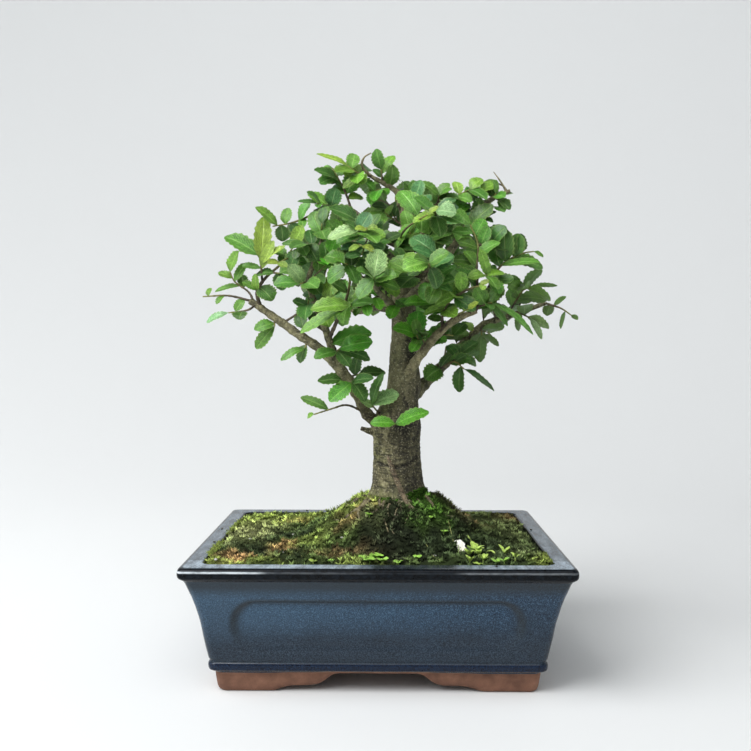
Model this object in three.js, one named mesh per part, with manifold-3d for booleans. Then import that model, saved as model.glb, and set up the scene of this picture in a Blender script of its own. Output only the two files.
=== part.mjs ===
// A chinese elm bonsai in a glazed rectangular pot.
// Millimetres, +Z up. While it is built, the pot is centred on X and Y and stands on Z = 0.
// Its front faces -Y.
import * as THREE from "three";
import Module from "manifold-3d";

const wasm = await Module();
wasm.setup();

// Driving sizes
const POT_WIDTH = 200;
const POT_DEPTH = 154;
const POT_HEIGHT = 68.5;
const OUTER_CORNER = 5;
const INNER_CORNER = 6;
const GAP = 0.3;

// Where the foliage is read from: a point given in the trunk's plane is carried along this line of sight.
const EYE = new THREE.Vector3(4.8, -486, 178.5);

// The pot's outer wall, from the foot up to the lip, as [inset from the lip's edge, height].
const OUTER_WALL = [
  [16.6, 0], [14.6, 9.9], [12.2, 10.1], [11.7, 14.8], [12.9, 15.4], [12, 17.4], [9.9, 29], [8.4, 38.5],
  [5.6, 50], [3.8, 55], [1.6, 61.3], [0, 64], [0, 67.5], [0.9, POT_HEIGHT],
];
const FLOOR_TOP = 14;
const FLOOR_UNDERSIDE = 8;
const INNER_WALL = [
  [21, FLOOR_TOP], [18.8, 15.6], [12.6, 50], [11.1, 60], [10.8, 67.4], [9.9, 68.6], [9.9, 70],
];
const FOOT_HOLLOW = [[26, -1], [24.6, 7], [23.4, FLOOR_UNDERSIDE]];
const DRAIN_RADIUS = 8;
const DRAIN_X = 45;
const PANEL_DEPTH = 1.1;
const PANEL_HEIGHT = 26;
const PANEL_MIDDLE = 37;
const PANEL_END_RADIUS = 12;
const FRONT_PANEL_LENGTH = 148;
const SIDE_PANEL_LENGTH = 102;

// One half of the cloud-shaped gap between two feet, as [distance from the middle, height].
const FRONT_CLOUD = [
  [54.5, -1], [54.5, 0], [50.6, 1.3], [46, 2.5], [33, 2.6], [28.5, 3.8], [25.6, 6], [22.5, FLOOR_UNDERSIDE],
];
const SIDE_CLOUD_SCALE = 0.74;

const SCREEN_SIZE = 24;
const SCREEN_THICKNESS = 0.9;
const SCREEN_RIB = 2.1;
const SCREEN_HOLES = 3;

const SOIL_LEVEL = 63.2;
const MOSS_LEVEL = 67.6;
const TREE_X = 10.6;

// The trunk's cross sections: height, centre x, radius, and the part of the radius that its lobes stand out.
const TRUNK = [
  [46, 10.6, 16.5, 0], [84, 10.6, 18.2, 0.06], [89.5, 10.6, 18.0, 0.1], [93.5, 10.7, 16.8, 0.1],
  [98.5, 10.6, 15, 0.07], [109, 10.4, 13.8, 0.05], [121.5, 10.1, 13.2, 0.04], [133, 10.1, 13.3, 0.05],
  [141, 10.8, 12.2, 0.05], [149, 12.8, 10.2, 0.03], [157, 14.6, 9.4, 0.03], [172, 14.7, 8, 0.03],
  [183, 14.7, 7.5, 0.03], [198, 14.4, 7.2, 0.04], [212, 14.8, 5.9, 0.03], [222, 16.5, 4.3, 0.02],
  [241, 16.2, 3.2, 0], [256, 14.5, 2.6, 0], [263, 13.3, 2.2, 0],
];
const TRUNK_SIDES = 12;
const TRUNK_LOBES = 5;

// Each branch: the points its middle line runs through, its radius at the foot and at the end, and its sides.
// x and z are read in the trunk's plane from the front, and y is the depth.
const BRANCHES = [
  // the lower left branch
  { r: [4.7, 2.5], sides: 7, via: [[6, 0, 130], [-6, -4, 139], [-13, -8, 152], [-21, -11, 164],
    [-34, -12, 177.5], [-48, -10, 187], [-62, -7, 197], [-75, -4, 206]] },
  // the inner riser that leaves it
  { r: [2.4, 1.1], sides: 6, via: [[-21, -11, 164], [-27, -13, 177], [-32, -15, 192], [-38, -17, 206],
    [-41, -17, 218], [-37, -15, 230], [-33, -12, 242]] },
  // the bare stub low on the left
  { r: [3, 2.2], sides: 6, via: [[2, -2, 129], [-10.5, -4, 130.8]] },
  // the thin dark branch that leaves the trunk on the left and runs back
  { r: [1.7, 0.9], sides: 5, via: [[10, 3, 200], [-3, 14, 201.5], [-13, 24, 199.5], [-25, 38, 206],
    [-36, 50, 216]] },
  // the right front branch
  { r: [4.2, 1.9], sides: 7, via: [[15, -4, 157], [20, -10, 168], [27, -14, 178], [36, -18, 188],
    [46, -22, 195.5], [57, -25, 200]] },
  // the right back branch, down to its far tip
  { r: [3.8, 1.2], sides: 7, via: [[18, 4, 150], [29, 14, 160], [41, 26, 172], [52, 34, 184],
    [62, 38, 192.5], [75, 40, 196.5], [86, 41, 200.5], [97, 41, 204.5]] },
  // the upper right branch, with the dead spike at its end
  { r: [3.6, 1.1], sides: 6, via: [[15, 3, 205], [25, 7, 217], [35, 9, 227], [44, 10, 238],
    [51, 10, 249], [56, 9, 257], [65, 8, 264.5], [76, 8, 269.5]] },
  { r: [1, 0.6], sides: 4, via: [[74.5, 8, 268.5], [70.5, 8, 275], [66.5, 8, 280.5]] },
  // the leader's curl at the very top
  { r: [2.1, 0.7], sides: 6, via: [[13.5, 0, 261], [11, 0, 268.5], [2, -1, 274.5], [-5, -2, 278.5],
    [-9.7, -3, 284], [-8.5, -3, 289], [-4.5, -3, 291.5]] },
  // four branches towards the front
  { r: [2.7, 1], sides: 6, via: [[13, -4, 196], [7, -20, 204], [0, -36, 211], [-4, -52, 216]] },
  { r: [2.5, 1], sides: 6, via: [[16, -4, 206], [23, -20, 213], [29, -36, 219], [31, -52, 224]] },
  { r: [2.1, 0.9], sides: 5, via: [[16, -2, 222], [8, -16, 231], [-2, -30, 239], [-8, -44, 244]] },
  { r: [2.1, 0.9], sides: 5, via: [[16, -2, 230], [23, -15, 241], [30, -27, 250], [33, -38, 254]] },
  // four branches towards the back
  { r: [3, 1], sides: 6, via: [[14, 4, 189], [12, 24, 200], [7, 44, 208], [2, 64, 213]] },
  { r: [2.4, 1], sides: 5, via: [[12, 2, 212], [-4, 20, 222], [-18, 36, 230], [-33, 48, 235]] },
  { r: [2.6, 1], sides: 6, via: [[17, 4, 214], [29, 24, 225], [42, 42, 233], [55, 54, 237]] },
  { r: [2, 0.9], sides: 5, via: [[15.5, 1, 236], [15, 16, 248], [10, 32, 257], [8, 48, 261]] },
];

// Each spray is a list of twigs. The first grows from the wood, and the others grow from the first.
// own: the leaves that make the outline, each as [place along the twig, tip x, tip z, width].
// more: how many leaves the twig's rule adds, which is 2 where nothing is said, and long: their length.
// x and z are read in the trunk's plane from the front, and y is the depth.
const SPRAYS = {
  left_tip: [{ via: [[-72, -5, 204], [-77, -9, 200.5], [-88, -8, 199]],
    own: [[1, -101, 193.5, 4.6], [0.55, -82, 195, 8]], more: 0 }],
  left_bare: [{ via: [[-75, -4, 206], [-88, -4, 209], [-103, -3, 208.5]], more: 0,
    own: [[0.88, -98.5, 213.5, 3.4], [0.55, -95, 204, 4]] }],
  left_tuft: [{ via: [[-73, -4, 204.5], [-76, 1, 211], [-84, 2, 217], [-87, 2, 223]], more: 1, long: 10,
    own: [[1, -81.5, 235, 8.6], [0.85, -94, 222.5, 5], [0.6, -96, 211, 4.4], [0.85, -77, 228, 5]] }],
  left_riser: [
    { via: [[-69, -5, 201.5], [-71, -8, 211], [-66, -7, 219.5], [-57, -7, 227.5], [-50, -10, 237]],
      radius: 1.7,
      own: [[1, -44.5, 250, 6.8], [0.85, -62, 236, 6.4], [0.85, -42, 228, 7], [0.3, -62, 206, 10.4],
        [0.25, -80, 217, 5]] },
    { via: [[-68, -7, 217], [-69.3, -8, 232]], more: 0,
      own: [[1, -90, 243.5, 10.6], [1, -67, 255, 9], [0.95, -54.5, 238, 5.4], [0.6, -80, 226.5, 4]] },
    { via: [[-63, -7, 222.5], [-58, -13, 222]], more: 1,
      own: [[1, -50, 225, 7], [0.9, -56, 212, 8.4], [0.6, -72, 221, 6]] },
  ],
  upper_left: [
    { via: [[15, -1, 236], [3, -6, 241], [-7, -8, 247], [-12, -7, 256], [-19, -5, 260], [-31, -3, 260],
      [-42, -4, 254.5], [-52, -5, 251], [-62, -5, 249.3]], radius: 1.9, more: 1,
      own: [[0.97, -72, 260.5, 7], [0.96, -56, 240.5, 7.6], [0.92, -52.5, 260, 6.4], [0.88, -46, 243, 7]] },
    { via: [[-26, -4, 260.3], [-36, -11, 262.5]], more: 1,
      own: [[1, -47.5, 263.5, 4], [0.9, -42, 269, 7], [0.4, -25, 271.5, 8.6], [0.7, -35, 246, 9.4]] },
    { via: [[-16, -6, 259], [-20, -3, 270], [-27, -2, 283]],
      own: [[0.72, -35.5, 276.5, 7.4], [0.8, -18, 283.5, 4], [0.45, -29, 270, 8], [0.3, -9, 265.5, 7]] },
  ],
  left_inner: [{ via: [[-35, -14, 236], [-42, -17, 239], [-49, -18, 235]],
    own: [[0.5, -36, 229, 9.6], [0.9, -52, 224, 8]] }],
  left_outer: [{ via: [[-41, -17, 217], [-46, -22, 216]],
    own: [[1, -61.5, 215.5, 8.6], [0.9, -53, 227, 8], [0.5, -34, 210, 8]] }],
  bead_twig: [{ via: [[-56, -8, 193], [-49, -9, 197.5], [-42, -13, 201.5], [-41, -20, 208]],
    own: [[0.7, -50.5, 206, 6], [1, -36, 215, 7]] }],
  top_long: [{ via: [[-4, -2, 278], [-12, -8, 280], [-18, -10, 284]],
    own: [[1, -36.5, 291, 5], [0.95, -14, 291, 7], [0.4, -21, 271, 6]] }],
  crown: [{ via: [[2, -1, 274.5], [1.5, -3, 282]], more: 1,
    own: [[1, -1.5, 294, 6.8], [0.95, 9, 290, 6.8], [0.35, 12, 276, 8], [0.5, -8, 270, 7]] }],
  top_middle: [{ via: [[12, 0, 265], [17, 2, 270]],
    own: [[1, 22, 275, 5], [0.8, 13, 276, 4], [0.7, 27, 266, 8]] }],
  top_ridge: [
    { via: [[15.5, 1, 246], [26, 3, 256], [36, 5, 263], [47, 6, 267.5], [53, 6, 270.5]], radius: 1.9,
      own: [[0.85, 44, 275, 6], [1, 60, 276.5, 7.4], [0.95, 57, 264, 8]] },
    { via: [[34, 5, 262], [35, 3, 267]], more: 1, own: [[1, 24, 275, 6], [0.95, 41, 274, 8.6],
      [0.6, 44, 259, 8]] },
  ],
  spike_tuft: [{ via: [[66, 8, 265], [68, 6, 268]],
    own: [[1, 66, 276, 6], [0.9, 76, 258.5, 7], [0.5, 60, 258, 8], [0.9, 78, 268, 4.4]] }],
  spike_under: [{ via: [[55, 9, 255.5], [60, 4, 253]], own: [[1, 66.5, 251.5, 5.6], [0.9, 56, 243, 8]] }],
  right_riser: [
    { via: [[53, -25, 198.5], [57, -26, 212], [57, -24, 226], [57.5, -20, 239], [53, -17, 250]],
      radius: 1.3, more: 4,
      own: [[1, 42, 258, 7]] },
    { via: [[57.4, -20, 238], [66, -17, 240]], more: 1,
      own: [[0.5, 63.5, 249, 6.4], [1, 74, 249, 9], [0.95, 77, 235, 8.4]] },
  ],
  right_long: [
    { via: [[56, -25, 199.5], [61, -24, 208], [65, -21, 216], [70, -18, 225], [76, -16, 230],
      [84, -15, 233.5], [90, -15, 234.5]], radius: 1.2, more: 1,
      own: [[1, 95.5, 231, 3.4], [0.85, 82, 245, 7], [0.7, 95.5, 225, 9.4]] },
    { via: [[66, -21, 218], [62, -30, 221]], more: 1,
      own: [[1, 52, 219, 7], [0.9, 73, 222, 6.4], [0.7, 59, 236, 5]] },
    { via: [[59, -25, 203], [66, -30, 205]], more: 1,
      own: [[0.8, 75, 191, 4.4], [1, 90, 186, 4.4], [0.6, 56, 214, 8]] },
  ],
  right_upright: [{ via: [[74, 40, 196], [80, 34, 206], [84, 30, 212], [88, 25, 213.5]],
    own: [[1, 104, 214.5, 3.6], [0.9, 100, 206, 8.6], [0.6, 77, 221, 7.6]] }],
  right_tip: [{ via: [[97, 41, 204.5], [106, 41, 201.5], [112, 41, 197.5]], more: 0,
    own: [[1, 116, 195, 3], [0.75, 106, 189.5, 3], [0.3, 109, 208.5, 3.4], [0.2, 98, 197, 6.6]] }],
  right_low: [{ via: [[82, 41, 199], [88, 34, 196]], more: 1,
    own: [[0.9, 99, 189.5, 7.4], [1, 95, 183.5, 3.8], [0.5, 81, 188.5, 6.4]] }],
  right_under: [{ via: [[60, 37, 191], [60, 27, 186]], more: 1,
    own: [[0.6, 70, 190, 5.6], [1, 70, 179.5, 5], [0.95, 59, 170, 7], [0.7, 50, 180, 8.6]] }],
  hanging_right: [
    { via: [[30, 16, 161.5], [37, 10, 167], [44, 5, 170.5], [50, 2, 166]], radius: 1.3, more: 0,
      own: [[0.35, 27, 160, 10.6], [0.55, 54, 172.5, 8.4], [1, 67.5, 153, 5.8], [0.9, 47, 152.5, 7]] },
    { via: [[42, 6, 169.7], [48, 14, 175]], more: 1,
      own: [[0.7, 40, 180, 5.6], [1, 58, 182, 8], [0.8, 57, 168, 6]] },
  ],
  trunk_pair: [{ via: [[10, -6, 131.5], [9.5, -17, 134]], more: 0,
    own: [[1, -5, 134.5, 6.6], [1, 29.5, 141, 8.8]] }],
  pale_pair: [{ via: [[2, -4, 138], [-4, -13, 145]], more: 0,
    own: [[1, 12, 151.5, 9.8], [0.9, -11, 147.5, 5.6]] }],
  low_left: [{ via: [[-6, -4, 139], [-14, -9, 143.5], [-20, -11, 145], [-27, -12, 143], [-38, -13, 139.5]],
    more: 0,
    own: [[1, -42, 137.5, 3.6], [0.75, -46, 149.5, 5.6]] }],
  low_leaves: [{ via: [[-16, -9, 157], [-16, -18, 159]], more: 0,
    own: [[1, -8, 147, 8.8], [0.95, -3, 160.5, 7], [0.8, -37, 155, 7], [0.9, -29, 147, 9.2]] }],
  inner_dark: [{ via: [[-19, -10, 161], [-12, 2, 163]], more: 0,
    own: [[1, 4, 164, 8], [0.7, -12, 174, 8]] }],
  inner_big: [{ via: [[-26, -13, 175], [-23, -21, 178]], more: 0,
    own: [[1, -3.5, 182, 10.6], [0.9, -5, 171.5, 7], [0.6, -38, 172.5, 8]] }],
  under_left: [{ via: [[-42, -11, 183], [-43, -14, 178.5]], more: 0,
    own: [[1, -57.5, 171, 5], [0.9, -46, 169.5, 7]] }],
  under_far_left: [{ via: [[-61, -7, 196.5], [-61, -10, 191]], more: 0,
    own: [[1, -72, 178, 7], [0.8, -73, 189, 6.6]] }],
  front_left: [
    { via: [[-29, -14, 184], [-25, -21, 193], [-20, -28, 204], [-17, -36, 216], [-18, -48, 226],
      [-20, -56, 228]], radius: 1.6, own: [[1, -31, 232, 9], [0.9, -13, 216, 9], [0.85, -30, 217, 8.6]] },
    { via: [[-20, -28, 204], [-16, -38, 203]], more: 1,
      own: [[1, -40, 201, 10.6], [0.9, -46, 187, 7], [0.8, -21, 192, 8.4], [0.6, -4, 206, 9.6]] },
  ],
  front_middle: [{ via: [[-3, -46, 214.5], [-3, -64, 220]],
    own: [[1, 0, 236, 10], [0.7, 12, 213, 9.6], [0.8, -12, 207, 9]] }],
  front_right: [{ via: [[30.5, -47, 222.5], [29, -64, 228]],
    own: [[1, 14, 224, 11.4], [0.9, 41, 234, 8], [0.6, 34, 213, 8.6]] }],
  front_high_left: [{ via: [[-7.5, -41, 243.5], [-12, -56, 247]],
    own: [[1, -30, 242, 8], [0.9, -5, 257, 8.6], [0.6, 4, 243, 8]] }],
  front_high_right: [{ via: [[33, -35, 253.5], [33, -50, 258]],
    own: [[1, 45, 257, 10], [0.8, 20, 251, 6], [0.7, 36, 243, 8.4]] }],
  middle_right: [{ via: [[37, -19, 189], [37, -23, 197], [41, -29, 205], [48, -36, 211]],
    own: [[1, 48, 223, 6.4], [0.9, 33, 203, 6], [0.8, 56, 200, 9.4], [0.5, 26, 198, 5]] }],
  trunk_cover: [{ via: [[26, -14, 176], [22, -24, 186]], more: 0,
    own: [[1, 8, 190, 9], [0.9, 23, 200, 10.4], [0.6, 19, 176, 6.4]] }],
  back_low: [{ via: [[3, 60, 212.5], [-2, 78, 215]], more: 5, long: 17 },
    { via: [[0, 70, 213.5], [12, 80, 210]], more: 3, long: 16 }],
  back_left: [{ via: [[-31, 46, 234.5], [-46, 60, 238]], more: 5, long: 16 }],
  back_far_left: [{ via: [[-34, 48, 214.5], [-50, 60, 222]], more: 5, long: 16 }],
  back_right: [{ via: [[53, 52, 236.5], [64, 66, 238]], more: 5, long: 16 }],
  back_top: [{ via: [[8.5, 45, 260.5], [5, 62, 262]], more: 5, long: 16 }],
  back_right_low: [{ via: [[68, 39, 195], [66, 54, 203], [60, 68, 208]], more: 6, long: 16 }],
  back_middle: [{ via: [[9, 38, 205.5], [22, 54, 212], [30, 66, 220]], more: 6, long: 16 }],
  back_high_left: [{ via: [[-17, 35, 229.5], [-20, 44, 241], [-26, 50, 250]], more: 6, long: 16 }],
  back_high_right: [{ via: [[42, 41, 232.5], [40, 48, 245], [34, 52, 253]], more: 6, long: 16 }],
};

// Leaves
// The outline as [place along the leaf, part of the half width], and the rib beneath as [place, depth].
const LEAF_OUTLINE = [[0.24, 0.66], [0.5, 1], [0.56, 0.84], [0.8, 0.6]];
const LEAF_RIB = [[0.22, 1.2], [0.62, 1.2]];
const LEAF_FOLD = 0.22;
const LEAF_ARCH = 0.3;
const LEAF_SINK = 0.7;
const LEAF_SPACING = 2.4;
const LEAF_CLEARANCE = 2.3;
const WOOD_CLEARANCE = 1.7;
const TWIG_RADIUS = 1;
const TWIG_END_RADIUS = 0.65;
const TWIG_SIDES = 3;
const SPAN_STEPS = 12;
const RULE_LEAF_LENGTH = 15;
const RULE_LEAF_COUNT = 2;
const RULE_LEAF_SLIMNESS = 0.56;
const RULE_LEAF_TRIALS = 20;
const OUTLINE_LEAF_TRIALS = 24;
const WEED_LEAF_WIDTH = 0.7;

// The small plants in the moss: where each stands, how many leaves it has and how long they are.
const WEEDS = {
  weed_front: { at: [51, -50], leaves: 4, long: 7 },
  weed_middle: { at: [-1, -54], leaves: 3, long: 5.5 },
  weed_right: { at: [68, -44], leaves: 3, long: 6.5 },
};
const PETAL = { at: [44.5, -35], long: 6.5, width: 5, hole: 2.4 };

// Small helpers
const vec = (x, y, z) => new THREE.Vector3(x, y, z);

function smoothstep(low, high, value) {
  const t = Math.min(1, Math.max(0, (value - low) / (high - low)));
  return t * t * (3 - 2 * t);
}

// A number from 0 to 1 that looks random and is the same on every run.
function chance(a, b) {
  const s = Math.sin(a * 12.9898 + b * 78.233) * 43758.5453;
  return s - Math.floor(s);
}

// Carries a point read in the trunk's plane to its depth y along the line of sight.
function placed([x, y, z]) {
  const k = (y - EYE.y) / -EYE.y;
  return vec(EYE.x + (x - EYE.x) * k, y, EYE.z + (z - EYE.z) * k);
}

function solidFromFaces(points, faces) {
  const make = (list) => new wasm.Manifold(new wasm.Mesh({
    numProp: 3,
    vertProperties: new Float32Array(points.flatMap((p) => [p.x, p.y, p.z])),
    triVerts: new Uint32Array(list.flat()),
  }));
  const made = make(faces);
  return made.volume() < 0 ? make(faces.map(([a, b, c]) => [a, c, b])) : made;
}

function meshFromSolid(name, solid, material) {
  const { numProp, vertProperties, triVerts } = solid.getMesh();
  const positions = new Float32Array((vertProperties.length / numProp) * 3);
  for (let i = 0; i < positions.length / 3; i += 1) {
    positions.set(vertProperties.subarray(i * numProp, i * numProp + 3), i * 3);
  }
  const geometry = new THREE.BufferGeometry();
  geometry.setAttribute("position", new THREE.BufferAttribute(positions, 3));
  geometry.setIndex(new THREE.BufferAttribute(new Uint32Array(triVerts), 1));
  geometry.computeVertexNormals();
  const mesh = new THREE.Mesh(geometry, material);
  mesh.name = name;
  return mesh;
}

// A skin through loops of equal count. An open loft is closed by a fan at each end.
// A ring loft joins its last loop to its first.
function loft(loops, ring = false) {
  const count = loops[0].length;
  const points = loops.flat();
  const faces = [];
  const bands = ring ? loops.length : loops.length - 1;
  for (let j = 0; j < bands; j += 1) {
    const low = j * count;
    const high = ((j + 1) % loops.length) * count;
    for (let i = 0; i < count; i += 1) {
      const next = (i + 1) % count;
      faces.push([low + i, low + next, high + next], [low + i, high + next, high + i]);
    }
  }
  if (!ring) {
    for (const [start, turned] of [[0, true], [(loops.length - 1) * count, false]]) {
      const middle = vec(0, 0, 0);
      for (let i = 0; i < count; i += 1) middle.add(points[start + i]);
      const hub = points.push(middle.divideScalar(count)) - 1;
      for (let i = 0; i < count; i += 1) {
        const a = start + i;
        const b = start + ((i + 1) % count);
        faces.push(turned ? [hub, b, a] : [hub, a, b]);
      }
    }
  }
  return solidFromFaces(points, faces);
}

// A rectangle with rounded corners at one height, running anticlockwise seen from above.
function roundedLoop(halfX, halfY, radius, z, cornerSteps = 3, longSteps = 1, shortSteps = 1) {
  const corners = [[1, -1, -90], [1, 1, 0], [-1, 1, 90], [-1, -1, 180]];
  const loop = [];
  corners.forEach(([sx, sy, start], side) => {
    const centre = [sx * (halfX - radius), sy * (halfY - radius)];
    for (let k = 0; k <= cornerSteps; k += 1) {
      const angle = THREE.MathUtils.degToRad(start + (90 * k) / cornerSteps);
      loop.push(vec(centre[0] + radius * Math.cos(angle), centre[1] + radius * Math.sin(angle), z));
    }
    const steps = side % 2 === 0 ? shortSteps : longSteps;
    const from = loop.at(-1);
    const [nx, ny] = [corners[(side + 1) % 4][0], corners[(side + 1) % 4][1]];
    const to = side % 2 === 0 ? vec(from.x, ny * (halfY - radius), z) : vec(nx * (halfX - radius), from.y, z);
    for (let k = 1; k < steps; k += 1) loop.push(from.clone().lerp(to, k / steps));
  });
  return loop;
}

const insetLoop = (inset, z, radius, ...steps) =>
  roundedLoop(POT_WIDTH / 2 - inset, POT_DEPTH / 2 - inset, radius, z, ...steps);

function extruded(shape, depth, turn) {
  const geometry = new THREE.ExtrudeGeometry(shape, { depth, bevelEnabled: false, curveSegments: 4 });
  geometry.translate(0, 0, -depth / 2).applyMatrix4(turn);
  return solidFromGeometry(geometry);
}

function solidFromGeometry(geometry) {
  const position = geometry.getAttribute("position");
  const seen = new Map();
  const points = [];
  const slot = [];
  for (let i = 0; i < position.count; i += 1) {
    const p = vec(position.getX(i), position.getY(i), position.getZ(i));
    const key = p.toArray().map((value) => Math.round(value * 1e4)).join();
    if (!seen.has(key)) seen.set(key, points.push(p) - 1);
    slot.push(seen.get(key));
  }
  const order = geometry.index ? Array.from(geometry.index.array) : slot.map((_, i) => i);
  const faces = [];
  for (let i = 0; i < order.length; i += 3) {
    faces.push([slot[order[i]], slot[order[i + 1]], slot[order[i + 2]]]);
  }
  return solidFromFaces(points, faces);
}

// A smooth course through points: a Catmull-Rom curve, with its length worked out as it goes.
function courseThrough(via) {
  const before = via[0].clone().multiplyScalar(2).sub(via[1]);
  const after = via.at(-1).clone().multiplyScalar(2).sub(via.at(-2));
  const knots = [before, ...via, after];
  const points = [];
  for (let i = 1; i < knots.length - 2; i += 1) {
    const [a, b, c, d] = knots.slice(i - 1, i + 3);
    for (let k = 0; k < SPAN_STEPS; k += 1) {
      const t = k / SPAN_STEPS;
      points.push(b.clone().multiplyScalar(2)
        .addScaledVector(c.clone().sub(a), t)
        .addScaledVector(a.clone().multiplyScalar(2).addScaledVector(b, -5)
          .addScaledVector(c, 4).sub(d), t ** 2)
        .addScaledVector(b.clone().multiplyScalar(3).sub(a).addScaledVector(c, -3).add(d), t ** 3)
        .multiplyScalar(0.5));
    }
  }
  points.push(via.at(-1).clone());
  const reached = [0];
  for (let i = 1; i < points.length; i += 1) {
    reached.push(reached[i - 1] + points[i].distanceTo(points[i - 1]));
  }
  const length = reached.at(-1);
  // The point at a distance along the course.
  const at = (distance) => {
    const d = Math.min(length, Math.max(0, distance));
    let i = 1;
    while (i < reached.length - 1 && reached[i] < d) i += 1;
    return points[i - 1].clone().lerp(points[i], (d - reached[i - 1]) / (reached[i] - reached[i - 1]));
  };
  const way = (distance) => {
    const d = Math.min(length - 0.5, Math.max(0.5, distance));
    return at(d + 0.5).sub(at(d - 0.5)).normalize();
  };
  return { length, at, way };
}

// A round tube along a course.
function tube(via, radiusAt, sides, steps) {
  const course = courseThrough(via);
  const loops = [];
  let normal = Math.abs(course.way(0).z) > 0.9 ? vec(0, 1, 0) : vec(0, 0, 1);
  for (let j = 0; j <= steps; j += 1) {
    const distance = (course.length * j) / steps;
    const way = course.way(distance);
    const centre = course.at(distance);
    const radius = radiusAt(j / steps);
    normal = normal.clone().addScaledVector(way, -normal.dot(way)).normalize();
    const across = way.clone().cross(normal);
    loops.push(Array.from({ length: sides }, (_, i) => {
      const angle = (2 * Math.PI * (i + 0.5)) / sides;
      return centre.clone()
        .addScaledVector(normal, radius * Math.cos(angle))
        .addScaledVector(across, radius * Math.sin(angle));
    }));
  }
  return loft(loops);
}

const fused = (solids) => solids.slice(1).reduce((whole, solid) => whole.add(solid), solids[0]);

// A cut can leave a loose scrap beside the piece: only the largest body is kept.
function largestBody(solid) {
  return solid.decompose().sort((a, b) => b.volume() - a.volume())[0];
}

// The pot
const QUARTER_TURN = Math.PI / 2;
const ALONG_X = new THREE.Matrix4().makeRotationY(QUARTER_TURN)
  .multiply(new THREE.Matrix4().makeRotationZ(QUARTER_TURN));
const ALONG_Y = new THREE.Matrix4().makeRotationX(QUARTER_TURN);

function panelShape(length) {
  const shape = new THREE.Shape();
  const x = length / 2 - PANEL_END_RADIUS;
  const y = PANEL_HEIGHT / 2 - PANEL_END_RADIUS;
  shape.absarc(x, PANEL_MIDDLE - y, PANEL_END_RADIUS, -Math.PI / 2, 0, false);
  shape.absarc(x, PANEL_MIDDLE + y, PANEL_END_RADIUS, 0, Math.PI / 2, false);
  shape.absarc(-x, PANEL_MIDDLE + y, PANEL_END_RADIUS, Math.PI / 2, Math.PI, false);
  shape.absarc(-x, PANEL_MIDDLE - y, PANEL_END_RADIUS, Math.PI, 1.5 * Math.PI, false);
  return shape;
}

function cloudShape(scale) {
  const half = FRONT_CLOUD.map(([x, z]) => new THREE.Vector2(x * scale, z));
  const other = half.map((p) => new THREE.Vector2(-p.x, p.y)).reverse();
  return new THREE.Shape([...half, ...other]);
}

function pot() {
  const walls = (extra) => loft(OUTER_WALL.map(([inset, z]) => insetLoop(inset + extra, z, OUTER_CORNER)));
  const outside = walls(0);
  const skin = walls(-PANEL_DEPTH).subtract(walls(PANEL_DEPTH));
  const panels = extruded(panelShape(FRONT_PANEL_LENGTH), 2 * POT_DEPTH, ALONG_Y)
    .add(extruded(panelShape(SIDE_PANEL_LENGTH), 2 * POT_WIDTH, ALONG_X));
  let body = outside.subtract(panels.intersect(skin));
  body = body.subtract(loft(INNER_WALL.map(([inset, z]) => insetLoop(inset, z, INNER_CORNER))));
  body = body.subtract(loft(FOOT_HOLLOW.map(([inset, z]) => insetLoop(inset, z, INNER_CORNER))));
  body = body.subtract(extruded(cloudShape(1), 2 * POT_DEPTH, ALONG_Y));
  body = body.subtract(extruded(cloudShape(SIDE_CLOUD_SCALE), 2 * POT_WIDTH, ALONG_X));
  for (const side of [-1, 1]) {
    const hole = new THREE.CylinderGeometry(DRAIN_RADIUS, DRAIN_RADIUS, 20, 18);
    hole.rotateX(Math.PI / 2).translate(side * DRAIN_X, 0, FLOOR_TOP - 3);
    body = body.subtract(solidFromGeometry(hole));
  }
  return body;
}

function block(width, depth, height, x, y, z) {
  const geometry = new THREE.BoxGeometry(width, depth, height);
  return solidFromGeometry(geometry.translate(x, y, z));
}

// A square of stiff mesh with square holes, which lies over a drain hole.
function drainScreen(side) {
  const middle = FLOOR_TOP + GAP + SCREEN_THICKNESS / 2;
  const pitch = (SCREEN_SIZE - SCREEN_RIB) / SCREEN_HOLES;
  const hole = pitch - SCREEN_RIB;
  let body = block(SCREEN_SIZE, SCREEN_SIZE, SCREEN_THICKNESS, side * DRAIN_X, 0, middle);
  for (let i = 0; i < SCREEN_HOLES; i += 1) {
    for (let j = 0; j < SCREEN_HOLES; j += 1) {
      const [x, y] = [i, j].map((step) => (step - (SCREEN_HOLES - 1) / 2) * pitch);
      body = body.subtract(block(hole, hole, 2 * SCREEN_THICKNESS, side * DRAIN_X + x, y, middle));
    }
  }
  return body;
}

// Soil and moss
const RING_STEPS = [2, 7, 5];
const RINGS = [1, 0.84, 0.68, 0.52, 0.37, 0.1];

// How far the ground rises above the rim: a broad mound and a steeper collar round the trunk.
function mound(x, y) {
  const broad = 1 - smoothstep(0.4, 1, Math.hypot((x - TREE_X) / 62, y / 55));
  const collar = 1 - smoothstep(17, 34, Math.hypot(x - TREE_X, y));
  return 17 * broad + 6.5 * collar;
}

// The moss grows in low cushions, with a hump over a root on the right.
function cushions(x, y) {
  const bentX = 0.23 * x + 1.3 * Math.sin(0.11 * y);
  const bentY = 0.27 * y + 0.8 * Math.sin(0.09 * x);
  const waves = 1.1 * Math.sin(bentX) * Math.cos(bentY);
  const ripples = 0.5 * Math.sin(0.41 * x + 0.37 * y);
  const hump = 3 * Math.exp(-(((x - 37) / 9) ** 2) - ((y + 2) / 12) ** 2);
  return waves + ripples + hump;
}

const soilHeight = (x, y) => SOIL_LEVEL + 0.97 * mound(x, y);
const mossHeight = (x, y) => MOSS_LEVEL + mound(x, y) + cushions(x, y);

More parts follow.
